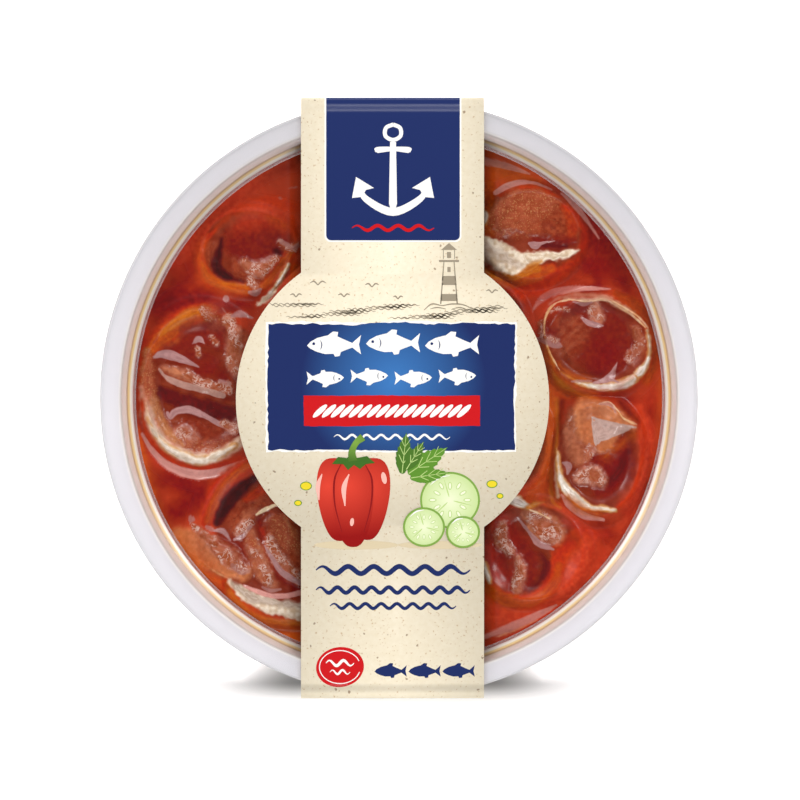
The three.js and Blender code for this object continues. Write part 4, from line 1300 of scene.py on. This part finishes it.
def torn(left, top, right, foot, depth, seed, grow=0.0):
    """A rectangle of the view from above with torn edges"""
    rng = np.random.default_rng(seed)
    left, top, right, foot = left - grow, top - grow, right + grow, foot + grow
    corners = [(left, foot), (right, foot), (right, top), (left, top)]
    outline = []
    for (ax, ay), (bx, by) in zip(corners, corners[1:] + corners[:1]):
        length = math.hypot(bx - ax, by - ay)
        steps = max(4, int(length / 4))
        wave = np.cumsum(rng.normal(0, 1, steps))
        wave = depth * (wave - np.linspace(0, wave[-1], steps)) / (np.abs(wave).max() + 1e-6)
        for i in range(steps):
            t = i / steps
            nx, ny = (by - ay) / length, -(bx - ax) / length
            shift = wave[i] * 0.6 + rng.uniform(-0.4, 0.4) * depth * 0.5
            outline.append((ax + (bx - ax) * t + nx * shift, ay + (by - ay) * t + ny * shift))
    return from_photo(outline)


def ribbon(points, steps=6):
    """The outline of a line of changing width through (x, y, width) points"""
    curve = np.array(curve_through(points, steps))
    direction = np.gradient(curve[:, :2], axis=0)
    direction /= np.linalg.norm(direction, axis=1)[:, None]
    side = np.column_stack([-direction[:, 1], direction[:, 0]]) * curve[:, 2:3] / 2
    return from_photo([*(curve[:, :2] + side), *(curve[:, :2] - side)[::-1]])


def wave_line(x0, x1, y, height, length, width):
    """A wavy line whose ends are thin, with eight points for each wave"""
    count = 8 * max(1, round((x1 - x0) / length))
    points = []
    for i in range(count + 1):
        thin = width * (0.25 + 0.75 * min(1, i / 6, (count - i) / 6))
        points.append((x0 + (x1 - x0) * i / count, y - height * math.sin(i * math.pi / 4), thin))
    return ribbon(points)


def set_down(points, x, y, size, turn=0):
    """Points in a shape's own units, scaled, turned and set down in the view from above"""
    c, s = math.cos(math.radians(turn)), math.sin(math.radians(turn))
    return [(x + size * (px * c - py * s), y + size * (px * s + py * c)) for px, py in points]


def oval(x, y, rx, ry, turn=0, steps=48):
    """An ellipse with its two radii"""
    angles = np.linspace(0, 2 * math.pi, steps, endpoint=False)
    return from_photo(set_down([(rx * math.cos(t), ry * math.sin(t)) for t in angles], x, y, 1, turn))


def block(left, top, right, foot):
    """An upright rectangle"""
    return from_photo([(left, foot), (right, foot), (right, top), (left, top)])


NAVY = "#182960"
navy_ink = ink("navy_ink", NAVY)
blue_ink = ink("blue_shaded_ink", "#3B78BC", second=NAVY, centre=(-1.2, 3.5), reach=20)
white_ink = ink("white_ink", "#F6F4F0")
red_ink = ink("red_ink", "#CB1017")
grey_ink = ink("grey_brown_ink", "#9C907C")
PANEL_TOP = -46  # above the view, past the fold


def tongue(left, right, foot, round_by):
    """A strip that hangs from the sleeve's upper fold, with rounded lower corners"""
    angles = np.linspace(0, math.pi / 2, 6)
    corner = [(round_by * (1 - math.cos(t)), round_by * (1 - math.sin(t))) for t in angles]
    outline = [(left, PANEL_TOP)]
    outline += [(left + across, foot - up) for across, up in corner]
    outline += [(right - across, foot - up) for across, up in reversed(corner)]
    return from_photo([*outline, (right, PANEL_TOP)])


NAVY_PANEL = (326.2, 459.8, 240.4)  # left, right and foot
BLUE_PANEL = (268, 324, 515, 450)  # left, top, right and foot
RED_BAND = (304, 395.5, 480, 426)
EDGE = 1.6  # the white line round the navy panel
left, right, foot = NAVY_PANEL
printed("white_panel_edge", [tongue(left - EDGE, right + EDGE, foot + EDGE, 6)], white_ink, 0.5)
printed("navy_top_panel", [tongue(left, right, foot, 5)], navy_ink, 1)
printed("white_torn_edge", [torn(*BLUE_PANEL, depth=3, seed=4, grow=1.8)], white_ink, 1)
printed("blue_torn_panel", [torn(*BLUE_PANEL, depth=3, seed=4)], blue_ink, 2)
printed("red_torn_band", [torn(*RED_BAND, depth=1.2, seed=9)], red_ink, 3)


def small_fish(x, y, size):
    """A plain fish with a back fin, a belly fin and a forked tail"""
    back = [(-1.0, 0.03), (-0.86, -0.13), (-0.6, -0.27), (-0.34, -0.34)]
    back_fin = [(-0.2, -0.37), (0.0, -0.52), (0.2, -0.5), (0.17, -0.33)]
    tail = [(0.5, -0.18), (0.74, -0.08), (1.08, -0.38), (1.0, -0.02)]
    tail += [(1.08, 0.36), (0.74, 0.1), (0.5, 0.19)]
    belly_fin = [(0.3, 0.27), (0.26, 0.42), (0.08, 0.45), (0.02, 0.34)]
    belly = [(-0.3, 0.35), (-0.6, 0.27), (-0.86, 0.15)]
    return from_photo(set_down([*back, *back_fin, *tail, *belly_fin, *belly], x, y, size))


def fish_lines(x, y, size):
    """The eye and the gill of a small fish"""
    eye = [(-0.74 + 0.055 * math.cos(t), -0.05 + 0.055 * math.sin(t)) for t in np.linspace(0, 6, 10)]
    gill = [(-0.5, -0.2), (-0.43, -0.1), (-0.41, 0.0), (-0.43, 0.1), (-0.5, 0.2)]
    gill += [(-0.46, 0.1), (-0.45, 0), (-0.46, -0.1)]
    return [from_photo(set_down(part, x, y, size)) for part in (eye, gill)]


# An anchor over a red wave, two shoals of white fish, a rope and a white wave
anchor_ring = [(393, 124.5, 4), (400, 128, 4), (400.5, 136, 4), (393, 140, 4)]
anchor_ring += [(385.5, 136, 4), (386, 128, 4), (393.4, 124.5, 4)]
anchor = [
    from_photo([(390, 142), (396, 142), (397, 204), (393, 216), (389, 204)]),
    ribbon([(375, 151, 3), (378, 150, 6), (393, 149, 4.5), (408, 150, 6), (411, 151, 3)]),
    ribbon([(360, 186, 3), (366, 199, 6.5), (393, 212, 8), (420, 199, 6.5), (426, 186, 3)]),
    from_photo([(352, 198), (356, 177), (374, 188), (366, 190), (362, 197)]),
    from_photo([(434, 198), (430, 177), (412, 188), (420, 190), (424, 197)]),
    ribbon(anchor_ring),
]
shoal = [(333, 345, 26), (392, 343, 26), (451, 345, 26)]
shoal += [(x, y, -18) for x, y in ((326, 378), (370, 376), (414, 378), (458, 376))]
printed("white_anchor_shank", anchor[:1], white_ink, 2)
printed("white_anchor_arms", anchor[1:3], white_ink, 2.3)
printed("white_anchor_flukes", anchor[3:], white_ink, 2.6)
printed("white_fish", [small_fish(x, y, size) for x, y, size in shoal], white_ink, 4)
printed("navy_fish_lines", [line for x, y, size in shoal for line in fish_lines(x, y, size)], navy_ink, 5)
rope = [oval(x, 411, 9.4, 2.7, -42, 20) for x in np.arange(320, 466, 9)]
printed("white_rope_even", rope[::2], white_ink, 4)
printed("white_rope_odd", rope[1::2], white_ink, 4.3)
wave_under_band = wave_line(334, 450, 437, 2.2, 15, 2.2)
wave_under_anchor = wave_line(352, 434, 228, 2.4, 20, 3.4)
printed("white_wave", [wave_under_band], white_ink, 4)
printed("red_wave", [wave_under_anchor], red_ink, 4)

# A sketch in grey brown: a lighthouse on its rock, gulls and the sea
sketch = []
gulls = [(296, 296, 6), (318, 284, 8), (344, 296, 6), (372, 286, 7), (398, 298, 5), (492, 292, 6)]
for x, y, size in gulls:
    sketch.append(ribbon([(x - size, y - 1, 0.5), (x - size / 2, y - size / 3, 1.5), (x, y + 1, 1)]))
    sketch.append(ribbon([(x, y + 1, 1), (x + size / 2, y - size / 3, 1.5), (x + size, y - 1, 0.5)]))
for i in range(48):  # short waves, strewn by whole-number steps
    start = 268 + (i * 61) % 226
    length = 12 + (i * 17) % 26
    level = 304 + (i * 7) % 15
    sketch.append(wave_line(start, min(start + length, 516), level, 0.7, 7, 1.0))
tower = [
    from_photo([(440, 304), (443.4, 262), (444.4, 262), (441.4, 304)]),
    from_photo([(458, 304), (454.6, 262), (453.6, 262), (456.6, 304)]),
    block(439, 260, 459, 262),
    block(443, 250, 443.8, 259),
    block(454.2, 250, 455, 259),
    from_photo([(441, 250), (449, 243), (457, 250)]),
    block(447, 252, 451, 258),
    from_photo([(442.4, 276), (455.8, 276), (456.6, 285), (441.8, 285)]),
    from_photo([(441.2, 294), (457, 294), (457.6, 301), (440.6, 301)]),
    block(447.4, 267, 450.6, 272),
]
rock = [
    [(424, 310, 0.6), (432, 304, 1.4), (442, 305.5, 1), (452, 304, 1.4), (464, 305, 1.2), (476, 311, 0.6)],
    [(430, 309, 0.4), (437, 307.5, 1.2), (446, 309, 0.6)],
    [(452, 309, 0.4), (460, 307.5, 1.2), (468, 310, 0.6)],
]
tower += [ribbon(line) for line in rock]
printed("grey_gulls_and_sea", sketch, grey_ink, 1)
printed("grey_lighthouse", tower, grey_ink, 1.3)

# A sweet pepper, slices of cucumber and leaves
leaf_green = ink("leaf_green_ink", "#5E8F2E")
deep_green = ink("deep_green_ink", "#3C6B22")
stalk_green = ink("stalk_green_ink", "#7FA644", second="#4B7427", centre=(-9.5, -9.5), reach=4)
pale_green = ink("pale_green_ink", "#F0F5D6")
rind_green = ink("rind_green_ink", "#7FA548")
light_green = ink("light_green_ink", "#BCD584")
yellow_ink = ink("yellow_ink", "#E9D22C")
shadow_ink = ink("soft_shadow_ink", "#D9C8A6")
shine_ink = ink("pink_shine_ink", "#F6B9AC")
wine_ink = ink("wine_red_ink", "#8A0F12")


def pepper_lobe(x, top, bottom, width, lean):
    """One lobe of a sweet pepper: broad shoulders and a narrower foot"""
    outline = []
    for t in np.linspace(0, 2 * math.pi, 56, endpoint=False):
        down = 0.5 - 0.5 * math.cos(t)
        across = math.sin(t) * abs(math.sin(t)) ** -0.25 if math.sin(t) else 0
        wide = width / 2 * (1.06 - 0.3 * down)
        outline.append((x + across * wide + lean * down, top + (bottom - top) * down))
    return from_photo(outline)


lobes = [("left", 334, 458, 541, 42, 6), ("right", 373, 458, 540, 42, -6), ("front", 353, 462, 547, 44, 0)]
food_shadows = [oval(356, 545, 42, 4.5), oval(440, 545, 42, 4)]
printed("print_shadows", food_shadows, shadow_ink, 1)
for i, (name, x, top, bottom, width, lean) in enumerate(lobes):
    centre = from_photo([(x - 6, 486)])[0]
    red = ink(f"pepper_{name}_ink", "#E04432", 0.35, "#94100F", centre=centre, reach=11)
    printed(f"pepper_{name}_lobe", [pepper_lobe(x, top, bottom, width, lean)], red, 2 + i)
folds = [
    ribbon([(341, 464, 0.6), (334.5, 480, 1.8), (335, 505, 1.4), (342, 532, 0.5)]),
    ribbon([(365, 464, 0.6), (372, 480, 1.8), (371, 505, 1.4), (364, 532, 0.5)]),
]
shine = [
    ribbon([(349, 474, 1), (344, 488, 5), (345, 506, 1)]),
    ribbon([(322, 474, 1), (318, 486, 4.5), (319, 500, 1)]),
    oval(384, 478, 2.6, 6, -12),
    oval(352, 522, 2, 4, 8),
]
calyx = [(332, 464), (338, 457), (347, 458), (351, 454), (357, 458), (367, 456), (375, 463)]
calyx += [(366, 464), (360, 469), (354, 465), (348, 470), (343, 464)]
stalk = [(353, 461, 9), (352, 452, 7), (356, 443, 6), (363, 437, 8)]
printed("pepper_folds", folds, wine_ink, 5)
printed("pepper_shine", shine, shine_ink, 6)
printed("pepper_calyx", [from_photo(calyx)], deep_green, 7)
printed("pepper_stalk", [ribbon(stalk)], stalk_green, 8)

SLICES = [(450, 500, 30), (424, 527, 21), (463, 532, 17)]
SLICE_TILT = 0.94  # the slices are seen a little from the side
for i, (x, y, size) in enumerate(SLICES):
    centre = from_photo([(x, y)])[0]
    flesh_reach = size * PHOTO_MM * 1.1
    flesh = ink(f"slice_flesh_ink_{i + 1}", "#EEF4CE", 0.4, "#BFD88A", centre=centre, reach=flesh_reach)
    printed(f"slice_rind_{i + 1}", [oval(x, y, size, size * SLICE_TILT)], rind_green, 2 + 5 * i)
    printed(f"slice_flesh_{i + 1}", [oval(x, y, size - 2, size * SLICE_TILT - 2)], flesh, 3 + 5 * i)
    angles = np.linspace(0, 2 * math.pi, 12, endpoint=False)
    halos = []
    seeds = []
    for t in angles:
        reach = size * (0.5 if round(6 * t / math.pi) % 2 else 0.58)
        spot = (x + reach * math.cos(t), y + SLICE_TILT * reach * math.sin(t))
        halos.append(oval(*spot, size * 0.13, size * 0.065, math.degrees(t), 20))
        seeds.append(oval(*spot, size * 0.1, size * 0.04, math.degrees(t), 20))
    rays = []
    for t in angles[::4] + 0.26:
        c, s = size * math.cos(t), size * math.sin(t)
        ray = [(0.12, 0.11, 0.5), (0.3, 0.28, 1.2), (0.74, 0.7, 0.4)]
        rays.append(ribbon([(x + a * c, y + b * s, width) for a, b, width in ray]))
    printed(f"slice_halos_{i + 1}", [*halos, *rays], light_green, 4 + 5 * i)
    printed(f"slice_seeds_{i + 1}", seeds, pale_green, 5 + 5 * i)
    shine = [(0.66, 0.5, 0.4), (0.36, 0.74, 1.6), (0, 0.82, 0.4)]
    shine = ribbon([(x - size * left, y - size * up, width) for left, up, width in shine])
    printed(f"slice_shine_{i + 1}", [shine], white_ink, 5.5 + 5 * i)


def leaf(x, y, length, width, turn):
    """A leaf with a toothed edge, whose stem end is at x, y"""
    side = []
    for i in range(17):
        along = i / 16
        tooth = 0.12 if i % 2 else 0.0
        reach = math.sin(math.pi * along**0.8) * (1 - tooth) * width / length / 2
        side.append((along - tooth * 0.3, reach))
    outline = [*side, *[(px, -py) for px, py in reversed(side[1:-1])]]
    return from_photo(set_down(outline, x, y, length, turn))


def veins(x, y, length, turn):
    """The middle vein of a leaf and its side veins"""
    lines = [((0.02, 0), (0.5, 0), (0.95, 0))]
    for along in (0.25, 0.45, 0.65):
        for side in (-1, 1):
            lines.append(((along, 0), (along + 0.08, side * 0.05), (along + 0.2, side * 0.12)))
    made = []
    for line in lines:
        widths = [0.9 - 0.5 * along for along, _ in line]
        placed = set_down(line, x, y, length, turn)
        made.append(ribbon([(*spot, width) for spot, width in zip(placed, widths)], 3))
    return made


LEAVES = [(408, 474, 48, 21, -34), (402, 474, 42, 17, -84), (410, 478, 40, 15, -8), (406, 470, 34, 14, -58)]
for i, (x, y, length, width, turn) in enumerate(LEAVES):
    tone = leaf_green if i % 2 == 0 else stalk_green
    printed(f"leaf_{i + 1}", [leaf(x, y, length, width, turn)], tone, 4.0 + i)
    printed(f"leaf_veins_{i + 1}", veins(x, y, length, turn), light_green, 4.5 + i)
drops = [(306, 486, 5, 3.6), (298, 503, 3, 2.2), (492, 484, 4.6, 3.2), (500, 496, 2.6, 2)]
printed("olive_drop_edges", [oval(x, y, rx + 0.9, ry + 0.8) for x, y, rx, ry in drops], leaf_green, 1)
printed("yellow_drops", [oval(*drop) for drop in drops], yellow_ink, 2)

# Navy waves, a red seal and a row of navy fish
navy_waves = [
    wave_line(316, 470, 570, 3.6, 24, 5),
    wave_line(316, 470, 590, 2.8, 18, 4),
    wave_line(330, 456, 606, 2.4, 16, 3.4),
]
printed("navy_waves", navy_waves, navy_ink, 1)
SEAL = (340, 667)
x, y = SEAL
angles = np.linspace(0.3, 5.9, 24)
seal_ring = [(x + 20.5 * math.cos(t), y + 16.5 * math.sin(t), 0.9) for t in angles]
seal_waves = [wave_line(x - 14, x + 14, y - 4, 2.6, 14, 3), wave_line(x - 10, x + 10, y + 5, 2, 10, 2.2)]
printed("red_seal", [oval(x, y, 24, 20, -8)], red_ink, 1)
printed("red_seal_ring", [ribbon(seal_ring, 3)], white_ink, 2)
printed("red_seal_wave", seal_waves, white_ink, 3)
fish_row = [small_fish(x, 671, 15.5) for x in (390, 424, 458)]
printed("navy_fish", fish_row, navy_ink, 1)

# Studio
# A white table with soft light from all round, and a long lens straight above the pack. The table has a
# painted shadow: it is darker under the pack and in front of the sleeve's fold.

# Matt white laminate. It glows a little, so that it is white up to the edges of the picture.
floor_white, tree = new_material("white_table")
place = add(tree, "TexCoord").outputs["Object"]
# Painted shadow: a soft dark patch on the table in front of the sleeve's lower fold
parts = add(tree, "SeparateXYZ", {0: place})
aside = add(tree, "Math", {0: parts.outputs["X"], 1: -SLEEVE_X * MM}, operation="ADD").outputs[0]
aside = add(tree, "Math", {0: aside}, operation="ABSOLUTE").outputs[0]
ahead = add(tree, "Math", {0: parts.outputs["Y"], 1: -1}, operation="MULTIPLY").outputs[0]
sideways = add(
    tree,
    "MapRange",
    {"Value": aside, "From Min": 20 * MM, "From Max": 47 * MM, "To Min": 1, "To Max": 0},
    interpolation_type="SMOOTHSTEP",
).outputs[0]
outwards = add(
    tree,
    "MapRange",
    {"Value": ahead, "From Min": 62.4 * MM, "From Max": 68 * MM, "To Min": 1, "To Max": 0},
    interpolation_type="SMOOTHSTEP",
).outputs[0]
painted_shadow = add(tree, "Math", {0: sideways, 1: outwards}, operation="MULTIPLY").outputs[0]
behind = add(tree, "Math", {0: 63.2 * MM, 1: ahead}, operation="SUBTRACT").outputs[0]
depth = add(
    tree,
    "MapRange",
    {"Value": aside, "From Min": 18 * MM, "From Max": 33 * MM, "To Min": 12 * MM, "To Max": 1.6 * MM},
).outputs[0]
behind = add(tree, "Math", {0: behind, 1: depth}, operation="DIVIDE").outputs[0]
near_fold = add(
    tree,
    "MapRange",
    {"Value": behind, "From Min": 0, "From Max": 1.5, "To Min": 1, "To Max": 0},
    interpolation_type="SMOOTHSTEP",
).outputs[0]
painted_shadow = add(tree, "Math", {0: painted_shadow, 1: near_fold}, operation="MULTIPLY").outputs[0]
lit = add(tree, "MapRange", {"Value": painted_shadow, "To Min": 1, "To Max": 0.15}).outputs[0]
# Painted shade under the pack, fading out past its rim
flat_place = add(tree, "VectorMath", {0: place, 1: (1, 1, 0)}, operation="MULTIPLY").outputs[0]
from_pack = add(tree, "VectorMath", {0: flat_place}, operation="LENGTH").outputs["Value"]
open_floor = add(
    tree,
    "MapRange",
    {"Value": from_pack, "From Min": 50 * MM, "From Max": 64 * MM, "To Min": 0.4, "To Max": 1},
    interpolation_type="SMOOTHSTEP",
).outputs[0]
lit = add(tree, "Math", {0: lit, 1: open_floor}, operation="MULTIPLY").outputs[0]
lit = add(tree, "CombineXYZ", {0: lit, 1: lit, 2: lit}).outputs[0]
surface = add(
    tree,
    "BsdfPrincipled",
    {
        "Base Color": lit,
        "Roughness": 0.9,
        "Emission Color": lit,
        "Emission Strength": 0.45,
    },
)
add(tree, "OutputMaterial", {"Surface": surface.outputs[0]})
bm = bmesh.new()
bmesh.ops.create_grid(bm, x_segments=1, y_segments=1, size=3)
mesh = bpy.data.meshes.new("table")
bm.to_mesh(mesh)
bm.free()
mesh.materials.append(floor_white)
table = bpy.data.objects.new("table", mesh)
table.location.z = -0.02 * MM
bpy.context.scene.collection.objects.link(table)

world = bpy.data.worlds.new("studio")
bpy.context.scene.world = world
world.use_nodes = True
tree = world.node_tree
upward = add(tree, "SeparateXYZ", {0: add(tree, "TexCoord").outputs["Generated"]}).outputs["Z"]
background = tree.nodes["Background"]
sky = [(0, grey(0.9)), (0.5, grey(0.62)), (0.8, grey(0.24)), (0.97, grey(0.06))]
sky = add(tree, "ValToRGB", {"Fac": upward}, sky).outputs["Color"]
tree.links.new(sky, background.inputs["Color"])
background.inputs["Strength"].default_value = 1.0


def softbox(name, place, size, watts):
    """A round light aimed at the pack"""
    light = bpy.data.lights.new(name, "AREA")
    light.shape = "DISK"
    light.size = size
    light.energy = watts
    lamp = bpy.data.objects.new(name, light)
    lamp.location = place
    lamp.rotation_euler = (Vector((0, 0, 0.02)) - Vector(place)).to_track_quat("-Z", "Y").to_euler()
    bpy.context.scene.collection.objects.link(lamp)


softbox("left_softbox", (-0.7, 0.42, 0.85), 0.38, 4.6)
softbox("right_softbox", (0.66, 0.5, 0.88), 0.34, 3.8)
softbox("back_softbox", (0.0, 0.85, 0.75), 0.4, 3.4)
softbox("front_softbox", (0.1, -0.7, 0.9), 0.4, 3.2)

LENS = 400
SENSOR = 36
VIEW_PIXELS = 800
VIEW_WIDTH = VIEW_PIXELS * PHOTO_MM * MM
camera_data = bpy.data.cameras.new("camera")
camera_data.lens = LENS
camera_data.sensor_width = SENSOR
camera = bpy.data.objects.new("camera", camera_data)
camera.location = (
    (VIEW_PIXELS / 2 - PHOTO_CENTRE[0]) * PHOTO_MM * MM,
    (PHOTO_CENTRE[1] - VIEW_PIXELS / 2) * PHOTO_MM * MM,
    FILM_TOP * MM + VIEW_WIDTH * LENS / SENSOR,
)
bpy.context.scene.collection.objects.link(camera)
bpy.context.scene.camera = camera
bpy.context.scene.view_settings.view_transform = "Standard"
